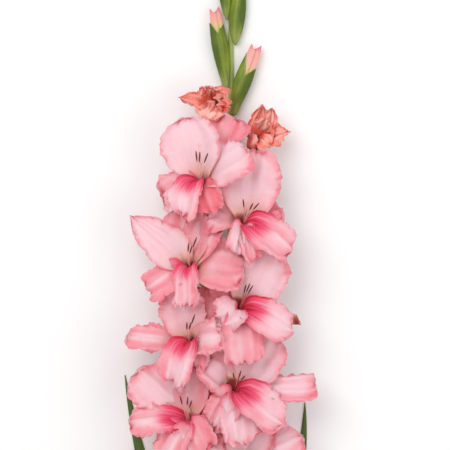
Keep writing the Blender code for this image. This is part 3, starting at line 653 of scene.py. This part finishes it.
def tepal_sheet(throat, axis, shape, seed, layer, thickness, dusk=0.0, crumple=0.0,
                rows=60, columns=42):
    """A tepal as a thin closed skin.

    Its middle line is a Bezier curve that leaves the tube along a cone round the floret's
    axis, passes the throat and ends at the tip. Across it the tepal is an arc round the axis
    inside the funnel and nearly flat further out, bent up by fold. Waves round its middle
    ruffle it, with the square of the nearness to the rim, and crimp it, with the fourth
    power. Shallow pleats run out to the rim, which rolls up and down, and the tip reaches
    less or further by waves across it. crumple is the height of the creases of a floret that
    is just opening and also paints shade deep inside it, the shade of the throat, given per
    floret, is painted at the foot, and layer sets neighbours inside each other. The tints also
    carry painted light and shade: whiter pleat ridges, deeper valleys and crimson creases.
    """
    s = (1 - (1 - np.linspace(0, 1, rows)) ** 1.6)[:, None] * np.ones(columns)
    v = np.sin(np.linspace(-1, 1, columns) * 1.25) / math.sin(1.25) * np.ones((rows, 1))
    out = unit(shape.tip - axis * (shape.tip @ axis))
    side = np.cross(axis, out)
    root = throat - axis * THROAT_DEPTH + out * FLOOR_RADIUS
    tip = throat + shape.tip
    reach = np.linalg.norm(tip - root)
    heading = unit(shape.tip * np.array([1.0, 1.0, 0.0]))
    lower = rise(-heading[1], -0.2, 0.9)
    lower_side = max(lower, shape.blotch)
    cone = FUNNEL_ANGLE + (LIP_ANGLE - FUNNEL_ANGLE) * lower
    leave = axis * math.cos(cone) + out * math.sin(cone)
    end = heading * math.cos(shape.curl) + UP * math.sin(shape.curl)
    up_funnel = root + leave * THROAT_RISE * (1 + 0.35 * lower)
    place, along = bezier((root, up_funnel, tip - end * reach * 0.35, tip), s)
    across = unit(side - along * np.sum(along * side, axis=-1, keepdims=True))
    face = np.cross(along, across)
    from_axis = place - throat
    from_axis = np.linalg.norm(from_axis - (from_axis @ axis)[..., None] * axis, axis=-1)
    turn = (shape.roll * rise(s, 0.1, 0.7))[..., None]
    across, face = (across * np.cos(turn) + face * np.sin(turn),
                    face * np.cos(turn) - across * np.sin(turn))
    place = place + across * (shape.bow * np.sin(math.pi * s))[..., None]
    grow = np.sin(math.pi / 2 * np.minimum(s / shape.widest, 1)) ** 0.6
    close = np.clip((s - shape.widest) / (1 - shape.widest), 0, 1)
    half = np.minimum(TEPAL_CLAW + (shape.width / 2 - TEPAL_CLAW) * grow, from_axis * 1.5)
    half = np.maximum(half * np.maximum(1 - close ** 2, 0) ** shape.point, LEAST_HALF_WIDTH)
    half = half * (1 + waves(s * 6 + (v > 0) * 3, *OUTLINE_WAVES, seed + 50) * rise(s, 0.3, 0.7))
    width = half * v
    bend = shape.cup + (1 / from_axis - shape.cup) * (1 - rise(s, 0.15, 0.55))
    angle = bend * width
    flat = width * np.sinc(angle / math.pi)
    lift = width ** 2 * bend / 2 * np.sinc(angle / (2 * math.pi)) ** 2
    shut = shape.fold * rise(s, 0.2, 0.6)
    lift = lift * np.cos(shut) + np.abs(flat) * np.sin(shut)
    flat = flat * np.cos(shut)
    edge = 1 - (1 - v ** 2) * (1 - s ** 6)
    around = np.arctan2(width, (s - 0.5) * reach)
    grown = rise(s, 0.2, 0.6)
    patch = 0.55 + 0.45 * waves(around, *PATCH_WAVES, seed + 31)
    fold = waves(around, *RUFFLE_WAVES, seed)
    crimp = patch * waves(around, *CRIMP_WAVES, seed + 9)
    lift += shape.ruffle * grown * (edge ** 2 * fold + 0.7 * edge ** 4 * crimp)
    pleat = rise(s, 0.2, 0.7) * waves(v * 2.6, *PLEAT_WAVES, seed + 17)
    lift += PLEAT_HEIGHT * pleat
    lift += ROLL_HEIGHT * rise(edge, 0.8, 1.0) * grown * waves(around, *ROLL_WAVES, seed + 23)
    lift += crumple * grown * waves(v * 3.1 + 2.0 * s, *CRUMPLE_WAVES, seed + 61)
    lift -= MIDRIB_DEPTH * np.exp(-(width / MIDRIB_WIDTH) ** 2) * (1 - s) * rise(s, 0.1, 0.3)
    lift += layer * LAYER_GAP * (1 - 0.6 * rise(s, 0.5, 0.9))
    ends = END_HEIGHT * s ** 8 * waves(v * 3.1, *END_WAVES, seed + 41)
    place = place + along * ends[..., None]
    grid = place + across * flat[..., None] + face * lift[..., None]
    pale = shape.pale * (1 - 0.5 * rise(edge, 0.4, 1.0))
    pale += 0.35 * np.exp(-(v / 0.3) ** 2) * rise(s, 0.3, 0.5) * (1 - rise(s, 0.7, 1.0))
    # painted light and shade: whiter on the ridges of the pleats, deeper in their valleys
    pale += 0.3 * (1 - abs(shape.pale)) * pleat
    # painted shade: crimson lines along the midrib and both side edges of a lower or blotched tepal
    # near its foot, where the creases lie in shade
    crease_shade = np.exp(-(width / 1.4) ** 2) + np.exp(-((np.abs(v) - 0.93) / 0.08) ** 2)
    spread = s + 0.13 * np.abs(v) ** 1.5
    reddest = max(shape.blotch, 0.8 * lower)
    fade = rise(spread, 0.2 + 0.05 * shape.blotch, 0.5 + 0.27 * shape.blotch)
    red = reddest * rise(s, 0.05, 0.12) * (1 - fade)
    red += 0.9 * reddest * crease_shade * rise(s, 0.1, 0.2) * (1 - rise(s, 0.3, 0.62))
    deep = (1 - rise(s, 0.12, 0.34)) * (1 - min(lower_side * 1.2, 1.0))
    # painted shade: near the foot the tint passes 1 and takes the dark colour of the funnel floor
    deep += 0.9 * (1 - rise(s, 0.02, 0.12))
    # painted shade: a shaded throat darkens the foot of its tepals further; worn browns a withered
    # tip
    deep = deep * (1 + 0.7 * dusk) + 1.6 * shape.worn * rise(s, 0.72, 0.95)
    # painted shade deep inside a half-open floret
    deep += 0.55 * crumple * (1 - rise(s, 0.35, 0.8))
    deep += 0.28 * (1 - lower_side) * (1 - rise(s, 0.3, 0.6))
    # painted shade: the rim tint also rises in the valleys of the ruffles, crimps and pleats
    rim = edge - 0.45 * edge ** 2 * (0.7 * fold + crimp) * grown - 0.08 * pleat
    tints = np.stack([pale, red, deep, rim], axis=-1)
    return sheet(grid, thickness * (1 - 0.55 * edge ** 3), tints)


def layers(axis, tepals):
    """How far inside each tepal lies, by turns round the axis: the reddest lies furthest in."""
    side = unit(np.cross(axis, UP))
    other = np.cross(axis, side)
    angles = [math.atan2(shape.tip @ side, shape.tip @ other) for shape in tepals]
    order = np.argsort(np.argsort(angles))
    reddest = order[np.argmax([shape.blotch for shape in tepals])]
    return np.where((order - reddest) % 2, -1.0, 1.0) + 1.4 * (order == reddest)


def whorl(settings, throat, axis, tepals, seed, **looks):
    """The tepals of a floret, each with a seed of its own."""
    bodies = []
    for number, (shape, layer) in enumerate(zip(tepals, layers(axis, tepals))):
        shape = shape._replace(ruffle=shape.ruffle * settings.ruffle)
        bodies.append(tepal_sheet(throat, axis, shape, seed + number, layer,
                                  settings.petal_thickness / MM, **looks))
    return bodies


def tube_curve(throat, axis, side, drop, depth):
    """Curve of a tube, from beside the stem up to the floor of its funnel."""
    mirror = np.array([-1 if side == "left" else 1, 1, 1])
    y = throat[1] - drop
    clear = float(stem_radius(y)) + TUBE_CLEARANCE
    foot = stem_centre(y) + mirror * TUBE_FOOT * clear
    floor = throat - axis * depth
    heading = unit(mirror * TUBE_START)
    reach = np.linalg.norm(floor - foot)
    return foot, foot + heading * reach * 0.4, floor - axis * reach * 0.35, floor


def open_floret(floret):
    """Throat, axis and curve of the tube of an open floret."""
    throat = np.array([*floret.throat, THROAT_HEIGHT])
    axis = unit(LEFT_AXIS if floret.side == "left" else RIGHT_AXIS)
    return throat, axis, tube_curve(throat, axis, floret.side, TUBE_DROP, THROAT_DEPTH)


def half_open_floret(side, place, axis):
    """Throat, axis and curve of the tube of a half-open floret."""
    throat, axis = np.array(place, float), unit(np.array(axis))
    return throat, axis, tube_curve(throat, axis, side, HALF_OPEN_DROP, HALF_OPEN_DEPTH)


def tube(curve, radius):
    """A tube that swells over its ovary at the foot and widens into the funnel."""
    rows = 30
    s = np.linspace(0, 1, rows)
    places, along = bezier(curve, s)
    ovary = 0.35 * np.exp(-((s - 0.12) / 0.09) ** 2)
    widths = radius * np.sqrt(np.clip(s / 0.03, 0.05, 1)) * (0.85 + ovary + 0.15 * s)
    widths = widths + (FLOOR_RADIUS + FUNNEL_WALL - radius) * rise(s, 0.6, 1.0)
    tints = tinted([rows], 0.5, 0, 1 - rise(s, 0.5, 0.9))
    # painted shade: the end ring at the floor of the funnel takes the dark depth colour
    tints[-1, 2] = 1.6
    return swept(places, along, widths, widths, 20, ribs=0.03, rib_count=6, masks=tints)


def thread(throat, axis, foot, tip, radius, end_radius, share, is_anther, dusk=0.0):
    """A filament or style from the tube to its tip; its last share is an anther or a stigma."""
    reach = np.linalg.norm(tip - foot)
    end = unit((tip - throat) * np.array([1, 1, 0.6]))
    curve = (foot, foot + axis * reach * 0.45, tip - end * reach * 0.3, tip)
    s = np.concatenate([np.linspace(0, 1 - share, 14), np.linspace(1 - share * 0.97, 1, 14)])
    places, along = bezier(curve, s)
    head = np.clip((s - (1 - share)) / share, 0, 1)
    on = head > 0
    swell = np.maximum(np.sin(math.pi * np.clip(head, 0.02, 0.98)), 0) ** 0.4
    widths = np.where(on, end_radius * swell, radius)
    # the third tint is painted shade on a filament in a shaded throat
    tints = tinted([len(s)], on * is_anther, on * (not is_anther), dusk)
    return swept(places, along, widths, widths * 0.75, 10, ribs=0.2 * is_anther, rib_count=2,
                 masks=tints)


def build_florets(settings):
    """The corollas of the open florets: six tepals on a tube each."""
    flesh = petal_finish(settings, "petal_flesh", 0.55, 0.35,
                         "salmon", "whitish", "rim", "rose_and_shade", "throat")
    for floret in FLORETS:
        throat, axis, curve = open_floret(floret)
        tepals = whorl(settings, throat, axis, floret.tepals, floret.number * 100, dusk=floret.dusk)
        make(f"corolla_{floret.number}", [tube(curve, TUBE_RADIUS), *tepals], flesh,
             f"perianth_{floret.number}")


def build_stamens(settings):
    """Three stamens and the three-armed style of each open floret, on their short column."""
    skin = finish("stamen_skin", 0.55, 0.1, FLESH, 0.1, stamen_paint(settings))
    for floret in FLORETS:
        throat, axis, _ = open_floret(floret)
        base = throat - axis * (THROAT_DEPTH - COLUMN_LIFT)
        s = np.linspace(0, 1, 6)
        places = base + axis * (COLUMN_LENGTH * s)[:, None]
        widths = COLUMN_RADIUS - 0.5 * s
        bodies = [swept(places, np.tile(axis, (len(s), 1)), widths, widths, 12)]
        for x, y in floret.anthers:
            tip = throat + np.array([x, y, ANTHER_HEIGHT])
            root = base + axis * COLUMN_LENGTH / 2 + np.array([x, 0.0, 0.0]) * 0.05
            bodies.append(thread(throat, axis, root, tip, *STAMEN_THREAD, floret.dusk))
        tip = throat + (np.array([*floret.anthers[1], ANTHER_HEIGHT]) + STIGMA_OFFSET)
        bodies.append(thread(throat, axis, base + axis, tip, *STYLE_THREAD))
        for turn in (-STIGMA_TURN, 0.0, STIGMA_TURN):
            arm = np.array([math.sin(turn), math.cos(turn), 0.35]) * STIGMA_ARM
            start = tip - np.array([0.0, 0.6, 0.0])
            bodies.append(thread(start, UP, start, start + arm, *STIGMA_THREAD))
        make(f"stamens_and_style_{floret.number}", bodies, skin, f"stamens_{floret.number}")


def build_half_open(settings):
    """The two coral florets that are just opening."""
    flesh = petal_finish(settings, "coral_flesh", 0.55, 0.15,
                         "coral", "frill", "coral_rim", "coral_rim", "coral_shade")
    for row, (side, place, axis, tepals) in enumerate(HALF_OPEN):
        throat, axis, curve = half_open_floret(side, place, axis)
        raised = throat + axis * (THROAT_DEPTH - HALF_OPEN_DEPTH)
        tepals = whorl(settings, raised, axis, tepals, 1000 + row * 100,
                       crumple=HALF_OPEN_CRUMPLE, rows=56, columns=40)
        make(f"half_open_{side}", [tube(curve, HALF_OPEN_TUBE_RADIUS), *tepals], flesh,
             f"corolla_{side}")


def bract_sheet(curve, start, end, span, radius, towards_stem, thickness):
    """A sheet wrapped round a tube that narrows to a pointed tip, with lengthwise ribs."""
    rows, columns = 36, 26
    share = np.linspace(0, 1, rows)
    s = start + (end - start) * share
    places, along = bezier(curve, s)
    guide = stem_centre(curve[0][1] + 30.0 + 40.0 * s) - places
    inner = unit(guide - along * np.sum(guide * along, axis=-1, keepdims=True))
    middle = inner if towards_stem else -inner
    lateral = np.cross(along, middle)
    v = np.linspace(-1, 1, columns)
    angles = span * np.maximum(1 - share ** 2.2, 0.08)[:, None] * v
    width = radius * (0.84 + 0.16 * np.sin(math.pi * np.minimum(share * 1.2, 1)))[:, None]
    width = width + 0.12 * np.cos(v * 19) * (1 - share[:, None])
    around = middle[:, None] * np.cos(angles)[..., None]
    around += lateral[:, None] * np.sin(angles)[..., None]
    tints = tinted([rows, columns], np.abs(v) ** 4 * 0.9, rise(share, 0.93, 1.0)[:, None] * 0.6)
    return sheet(places[:, None] + around * width[..., None], thickness, tints)


def build_bracts(settings):
    """Two bracts round the tube of each open floret, and one round each half-open one."""
    green = bract_finish(settings)
    for floret in FLORETS:
        curve = open_floret(floret)[2]
        for kind, shape in (("outer", OUTER_BRACT), ("inner", INNER_BRACT)):
            make(f"bract_{kind}_{floret.number}", [bract_sheet(curve, *shape)], green,
                 f"{kind}_bract_{floret.number}")
    for side, place, axis, _ in HALF_OPEN:
        curve = half_open_floret(side, place, axis)[2]
        make(f"bract_half_open_{side}", [bract_sheet(curve, *LONE_BRACT)], green,
             f"corolla_bract_{side}")


# ---- stem, leaves and buds

def build_stem(settings):
    """The stem: a tapering rod with fine lengthwise ribs and a clean cut at its foot."""
    y = np.concatenate([[0.0, 0.0], np.linspace(0.3, STEM_LENGTH - 1.5, 240), [STEM_LENGTH]])
    along = np.tile([0.0, 1.0, 0.0], (len(y), 1))
    widths = stem_radius(y)
    widths[0] *= 0.86
    widths[-1] *= 0.4
    tints = tinted([len(y)], 0, 0, np.arange(len(y)) == 0)
    body = swept(stem_centre(y), along, widths, widths, 48, ribs=0.012, rib_count=14, masks=tints)
    skin = green_finish(settings, "stem", 0.42, 0.15, (0.30, 0.36, 0.10), 40.0, 0.5)
    make("flower_stem", [body], skin, "stem")


def leaf_bodies(shape):
    """The blade of a sword leaf and the sheath that wraps it round the stem.

    The blade's middle line is a Bezier curve on the surface. Its width falls to a long point
    by the three quarters power of the distance left, and ridges run along it over its veins.
    """
    rows, columns = 150, 26
    radius = float(stem_radius(shape.foot)) + GAP + SHEATH_WALL / 2
    s = np.linspace(0, 1, rows)
    start = np.array([shape.side * radius, shape.foot, 0.0])
    lean = np.array([shape.side * (radius + 7.0), shape.foot + 80.0, 0.0])
    places, along = bezier((start, lean, (*shape.reach, 0.0), (*shape.tip, 0.0)), s)
    half = shape.width / 2 * rise(s, -0.05, 0.22) * np.clip((1 - s) / 0.45, 0.0, 1.0) ** 0.75
    half = np.maximum(half, 0.3)
    across = np.cross(along, UP)
    keel = places + np.outer(1 - rise(s, 0.1, 0.45), UP) * stem_centre(shape.foot)[2]
    keel[:, 2] += LEAF_THICKNESS / 2 + 0.1
    outwards = shape.side * np.sign(across[:, :1]) * across
    middle = keel + outwards * (half * (1 - rise(s, 0.1, 0.5)))[:, None]
    v = np.linspace(-1, 1, columns)
    grid = middle[:, None] + across[:, None] * (half[:, None] * v)[..., None]
    ridge = 0.6 * (1 - np.abs(v)) + 0.22 * np.cos(v * 9 * math.pi / 2)
    grid[..., 2] += ridge * np.minimum(half / 4, 1)[:, None]
    thick = LEAF_THICKNESS * (1 - 0.6 * v ** 4) * np.ones((rows, 1))
    veins = np.maximum(np.abs(v) ** 8, np.exp(-(v / 0.07) ** 2) * 0.7)
    blade = sheet(grid, thick, tinted([rows, columns], veins, rise(s, 0.975, 1.0)[:, None]))
    wrap = np.linspace(-1, 1, 46) * SHEATH_SPAN
    up = np.linspace(0, 1, 24)[:, None]
    y = shape.foot - SHEATH_FOOT + up * (SHEATH_LENGTH + SHEATH_FOOT) * (0.72 + 0.28 * np.cos(wrap))
    ring = np.stack([shape.side * np.cos(wrap), np.zeros_like(wrap), np.sin(wrap)], axis=-1)
    wall = stem_radius(y) + GAP + SHEATH_WALL / 2
    tints = tinted(wall.shape, rise(up, 0.9, 1.0) * 0.8)
    sheath = sheet(stem_centre(y) + ring * wall[..., None], SHEATH_WALL, tints)
    return [blade, sheath]


def build_leaves(settings):
    """The three sword leaves."""
    skin = green_finish(settings, "leaf", 0.4, 0.1, (0.20, 0.26, 0.08), 60.0, 0.9)
    for shape in LEAVES:
        make(f"blade_of_{shape.name}", leaf_bodies(shape), skin, shape.name)


def bud_path(bud):
    """Middle line of a bud, from beside the stem to its tip."""
    foot = np.array([*bud.foot, bud.height])
    tip = np.array([*bud.tip, bud.height + 1.5])
    reach = np.linalg.norm(tip - foot)
    lean = unit(tip - foot)
    start = unit(np.array([lean[0] * 0.4, lean[1], 0.0]))
    return foot, foot + start * reach * 0.35, tip - lean * reach * 0.35, tip


def closed_swell(s):
    """Thickness of a closed bud along it, from 0 at its foot to 1 and back to 0 at its tip."""
    return np.sin(math.pi * np.clip(s, 0.004, 0.998) ** 0.75) ** 0.92


def blunt_swell(s):
    """Thickness of a pink-tipped bud: a sine up to its middle and a parabola to a blunt tip."""
    grow = 0.3 + 0.7 * np.sin(math.pi / 2 * np.minimum(s / 0.55, 1))
    close = 1 - 0.4 * np.maximum((s - 0.55) / 0.45, 0) ** 2
    return grow * close * np.sqrt(np.clip(s / 0.02, 0.03, 1))


def bud_skin(bud, s, size, angle):
    """Points along and round a bud; size is the share of its half width and half depth."""
    places, along = bezier(bud_path(bud), s)
    across = rightwards(along)
    width = (size * bud.width * np.cos(angle))[..., None]
    depth = (size * bud.depth * np.sin(angle))[..., None]
    return places + across * width + np.cross(across, along) * depth


def valve(bud, swell, turn, span, wrap, high, dip, scale):
    """One valve of a spathe: a part of the bud's skin, with a mouth that dips in its middle.

    Its half angle is span at the mouth and grows by wrap at the foot, with the square of the
    distance from the mouth.
    """
    rows, columns = 40, 28
    v = np.linspace(-1, 1, columns)
    share = np.linspace(0, 1, rows)[:, None]
    s = (high - dip * v ** 2) * share
    angle = turn + (span + wrap * (1 - share) ** 2) * v
    size = swell(s) * scale * (1 + 0.012 * np.cos(angle * 16)) * (1 - 0.08 * rise(share, 0.6, 1.0))
    mouth = rise(share, 0.85, 1.0) * (0.2 + 0.8 * dip / 0.3)
    outwards = np.cos(angle) * math.copysign(1.0, bud.foot[0])
    # painted shade: the side of the spathe away from the stem is darkened, from a little above its
    # foot
    flank_shade = 0.55 * rise(outwards, -0.3, 0.9) * rise(s, 0.05, 0.35)
    tints = tinted([rows, columns], np.maximum(v ** 8, mouth) * 0.6,
                   rise(s, high - 0.04, high) * 0.25, 0.25 * (1 - rise(s, 0.0, 0.3)), flank_shade)
    return sheet(bud_skin(bud, s, size, angle), SPATHE_THICKNESS, tints)


def furled_petals(bud):
    """Petals rolled round each other in a spiral, whose tips stand up at either side."""
    rows, columns = 50, 100
    t = np.linspace(0, 1, columns)
    angle = t * 4.4 * math.pi
    top = 1.0 - 0.06 * (1 - np.abs(np.cos(angle + 0.2)) ** 1.5) - 0.05 * (1 - t)
    low = bud.mouth - 0.3
    s = low + (top - low) * np.linspace(0, 1, rows)[:, None]
    ribs = 1 + 0.035 * np.cos(7 * angle) * rise(s, bud.mouth, 1.0)
    size = (0.42 + 0.54 * t) * blunt_swell(s) * ribs
    size *= 0.88 + 0.16 * rise(s, bud.mouth, bud.mouth + 0.25)
    foot = 0.95 * (1 - rise(s, bud.mouth + 0.02, bud.mouth + 0.24))
    tints = tinted([rows, columns], 0.35, 0, foot, 0.4 + 0.9 * rise(s, 0.82, 1.0))
    return sheet(bud_skin(bud, s, size, angle), FURLED_THICKNESS, tints)


def build_buds(settings):
    """The pink-tipped buds with their spathes, and the green buds at the tip of the spike."""
    green = bract_finish(settings)
    flesh = petal_finish(settings, "bud_flesh", 0.5, 0.3,
                         "bud_pink", "frill", "rim", "rim", "bud_foot")
    for bud in PINK_BUDS:
        away, near = (math.pi, 0.0) if bud.name == "left" else (0.0, math.pi)
        high = bud.mouth + 0.15
        outer = valve(bud, blunt_swell, away, 1.68, 0.9, high, 0.18, 1.0)
        inner = valve(bud, blunt_swell, near, 1.7, 0.0, 0.85, (0.85 - bud.mouth) * 1.15, 0.93)
        make(f"spathe_{bud.name}", [outer, inner], green, f"bud_spathe_{bud.name}")
        make(f"furled_petals_{bud.name}", [furled_petals(bud)], flesh, f"bud_petals_{bud.name}")
    for bud in TIP_BUDS:
        left = valve(bud, closed_swell, math.pi, 1.75, 0.0, 1.0, 0.05, 1.0)
        right = valve(bud, closed_swell, 0.0, 1.6, 0.0, 0.9, 0.05, 0.94)
        make(f"green_{bud.name}", [left, right], green, bud.name)


# ---- stage

def area_light(name, place, target, size, power, tint):
    """A square soft light that faces a point; sizes are in metres."""
    light = bpy.data.lights.new(name, "AREA")
    light.shape = "SQUARE"
    light.size = size
    light.energy = power
    light.color = tint
    made = bpy.data.objects.new(name, light)
    made.location = place
    aim = np.array(target) - np.array(place)
    across = math.hypot(aim[0], aim[1])
    made.rotation_euler = (math.atan2(across, -aim[2]), 0.0, math.atan2(-aim[0], aim[1]))
    bpy.context.scene.collection.objects.link(made)


def build_stage(settings):
    """A plain pale floor, soft studio light and the camera over the spike."""
    scene = bpy.context.scene
    mesh = bpy.data.meshes.new("floor")
    corners = [(x * FLOOR_REACH, y * FLOOR_REACH, 0) for x, y in ((-1, -1), (1, -1), (1, 1), (-1, 1))]
    mesh.from_pydata(corners, [], [(0, 1, 2, 3)])
    floor = bpy.data.objects.new("floor", mesh)
    scene.collection.objects.link(floor)
    paper = bpy.data.materials.new("floor_paper")
    paper.use_nodes = True
    shader = paper.node_tree.nodes["Principled BSDF"]
    grain = Wire(paper.node_tree).node("TexCoord", {}, {}, 3).noise(3.0)
    tone = grain.mix((0.93, 0.93, 0.93), (0.95, 0.95, 0.95))
    paper.node_tree.links.new(tone.socket, shader.inputs["Base Color"])
    shader.inputs["Roughness"].default_value = 0.9
    mesh.materials.append(paper)

    world = bpy.data.worlds.new("studio")
    scene.world = world
    world.use_nodes = True
    background = world.node_tree.nodes["Background"]
    background.inputs["Color"].default_value = (1.0, 1.0, 1.0, 1.0)
    background.inputs["Strength"].default_value = settings.fill_light
    middle = (FOOT + np.array(VIEW_MIDDLE)) * MM
    for name, (offset, size, share, tint) in LAMPS.items():
        area_light(name, middle + np.array(offset), middle, size, settings.key_light * share, tint)

    lens = bpy.data.cameras.new("camera")
    lens.sensor_width = SENSOR_WIDTH
    lens.lens = SENSOR_WIDTH * VIEW_DISTANCE / VIEW_WIDTH
    lens.clip_end = 20.0
    camera = bpy.data.objects.new("camera", lens)
    camera.location = middle + UP * VIEW_DISTANCE * MM
    scene.collection.objects.link(camera)
    scene.camera = camera
    scene.view_settings.view_transform = "Standard"


# ---- add-on

def shade(name, description, values):
    """A colour among the settings."""
    return bpy.props.FloatVectorProperty(name=name, description=description, default=values,
                                         subtype="COLOR", size=3, min=0.0, max=1.0)


class SpikeSettings(bpy.types.PropertyGroup):
    """Sizes and colours of the spike."""

    petal_thickness: bpy.props.FloatProperty(
        name="Petal thickness", description="Thickness of a tepal in its middle",
        default=0.5 * MM, min=0.2 * MM, max=1.5 * MM, unit="LENGTH")
    ruffle: bpy.props.FloatProperty(
        name="Ruffle", description="Height of the waves of the tepals, as a share of each one's own",
        default=1.0, min=0.0, max=2.0, subtype="FACTOR")
    salmon: shade("Salmon", "Body colour of the tepals", (0.85, 0.30, 0.35))
    whitish: shade("Whitish", "Colour of the middle of the pale tepals", (0.875, 0.575, 0.63))
    # a deeper tepal colour, partly painted shade on the tepals that lie in shade
    rose_and_shade: shade("Rose", "Colour of the deepest tepals", (0.82, 0.16, 0.20))
    # the rim colour is also painted shade in the valleys of the ruffles and pleats
    rim: shade("Rim", "Colour of the rims and veins of the tepals", (0.82, 0.20, 0.26))
    bud_pink: shade("Furled petals", "Colour of the furled petals", (0.90, 0.38, 0.33))
    bud_foot: shade("Foot of the furled petals", "Their colour in the spathe", (0.60, 0.60, 0.17))
    throat: shade("Throat", "Colour inside the tubes", (0.94, 0.58, 0.48))
    # depth is painted shade at the floor of the funnels, and the brown of withered tips
    depth: shade("Depth", "Colour at the floor of the funnels", (0.34, 0.065, 0.045))
    flush: shade("Flush round the blotch", "Colour of a blotch where it fades", (0.88, 0.24, 0.33))
    blotch: shade("Blotch", "Colour of the stains on the lower tepals", (0.80, 0.06, 0.15))
    # crimson is also painted shade along the creases of the lower tepals
    crimson: shade("Crimson", "Colour of the darkest streaks", (0.55, 0.01, 0.04))
    coral: shade("Coral", "Colour of the half-open florets and furled petals", (0.95, 0.36, 0.29))
    coral_rim: shade("Coral rim", "Colour of their rims", (0.78, 0.13, 0.13))
    # painted shade: deep red inside the half-open florets, where their gaps lie in shade
    coral_shade: shade("Coral depth", "Colour deep inside them", (0.90, 0.14, 0.09))
    frill: shade("Coral frill", "Colour of their palest places", (0.94, 0.56, 0.50))
    bract: shade("Bract", "Darker green of the bracts and spathes", (0.075, 0.125, 0.008))
    bract_light: shade("Light bract", "Lighter green of the bracts and spathes", (0.25, 0.32, 0.025))
    stem: shade("Stem", "Darker green of the stem", (0.28, 0.38, 0.09))
    stem_light: shade("Light stem", "Lighter green of the stem", (0.42, 0.50, 0.14))
    leaf: shade("Leaf", "Darker green of the leaves", (0.045, 0.085, 0.02))
    leaf_light: shade("Light leaf", "Lighter green of the leaves", (0.10, 0.16, 0.035))
    anther: shade("Anther", "Colour of the anthers", (0.15, 0.03, 0.03))
    key_light: bpy.props.FloatProperty(
        name="Key light", description="Strength of the main lamp in watts", default=18.5, min=0.0)
    fill_light: bpy.props.FloatProperty(
        name="Fill light", description="Strength of the light from all round", default=0.66, min=0.0)


class GLADIOLUS_OT_corollas(bpy.types.Operator):
    """Builds the corollas of the nine open florets."""

    bl_idname = "gladiolus.corollas"
    bl_label = "Open florets"
    bl_options = {"REGISTER", "UNDO"}

    def execute(self, context):
        build_florets(context.scene.gladiolus)
        return {"FINISHED"}


class GLADIOLUS_OT_stamens(bpy.types.Operator):
    """Builds the stamens and styles of the open florets."""

    bl_idname = "gladiolus.stamens"
    bl_label = "Stamens"
    bl_options = {"REGISTER", "UNDO"}

    def execute(self, context):
        build_stamens(context.scene.gladiolus)
        return {"FINISHED"}


class GLADIOLUS_OT_half_open(bpy.types.Operator):
    """Builds the two coral florets that are just opening."""

    bl_idname = "gladiolus.half_open"
    bl_label = "Half-open florets"
    bl_options = {"REGISTER", "UNDO"}

    def execute(self, context):
        build_half_open(context.scene.gladiolus)
        return {"FINISHED"}


class GLADIOLUS_OT_bracts(bpy.types.Operator):
    """Builds the bracts round the tubes of the florets."""

    bl_idname = "gladiolus.bracts"
    bl_label = "Bracts"
    bl_options = {"REGISTER", "UNDO"}

    def execute(self, context):
        build_bracts(context.scene.gladiolus)
        return {"FINISHED"}


class GLADIOLUS_OT_buds(bpy.types.Operator):
    """Builds the pink-tipped buds and the green buds at the tip."""

    bl_idname = "gladiolus.buds"
    bl_label = "Buds"
    bl_options = {"REGISTER", "UNDO"}

    def execute(self, context):
        build_buds(context.scene.gladiolus)
        return {"FINISHED"}


class GLADIOLUS_OT_stem(bpy.types.Operator):
    """Builds the stem."""

    bl_idname = "gladiolus.stem"
    bl_label = "Stem"
    bl_options = {"REGISTER", "UNDO"}

    def execute(self, context):
        build_stem(context.scene.gladiolus)
        return {"FINISHED"}


class GLADIOLUS_OT_leaves(bpy.types.Operator):
    """Builds the three sword leaves."""

    bl_idname = "gladiolus.leaves"
    bl_label = "Leaves"
    bl_options = {"REGISTER", "UNDO"}

    def execute(self, context):
        build_leaves(context.scene.gladiolus)
        return {"FINISHED"}


class GLADIOLUS_OT_stage(bpy.types.Operator):
    """Builds the floor, the lights and the camera."""

    bl_idname = "gladiolus.stage"
    bl_label = "Stage"
    bl_options = {"REGISTER", "UNDO"}

    def execute(self, context):
        build_stage(context.scene.gladiolus)
        return {"FINISHED"}


class GLADIOLUS_PT_panel(bpy.types.Panel):
    """The spike's sizes, colours and pieces in the sidebar."""

    bl_label = "Gladiolus spike"
    bl_idname = "GLADIOLUS_PT_panel"
    bl_space_type = "VIEW_3D"
    bl_region_type = "UI"
    bl_category = "Gladiolus"

    def draw(self, context):
        column = self.layout.column(align=True)
        for key in SpikeSettings.__annotations__:
            column.prop(context.scene.gladiolus, key)
        for kind in OPERATORS:
            column.operator(kind.bl_idname)


OPERATORS = (
    GLADIOLUS_OT_corollas,
    GLADIOLUS_OT_stamens,
    GLADIOLUS_OT_half_open,
    GLADIOLUS_OT_bracts,
    GLADIOLUS_OT_buds,
    GLADIOLUS_OT_stem,
    GLADIOLUS_OT_leaves,
    GLADIOLUS_OT_stage,
)
CLASSES = (SpikeSettings, *OPERATORS, GLADIOLUS_PT_panel)


def register():
    for kind in CLASSES:
        bpy.utils.register_class(kind)
    bpy.types.Scene.gladiolus = bpy.props.PointerProperty(type=SpikeSettings)


def unregister():
    del bpy.types.Scene.gladiolus
    for kind in reversed(CLASSES):
        bpy.utils.unregister_class(kind)


def main():
    """Builds every piece and the stage."""
    register()
    for kind in OPERATORS:
        getattr(bpy.ops.gladiolus, kind.bl_idname.split(".")[1])()


if __name__ == "__main__":
    main()
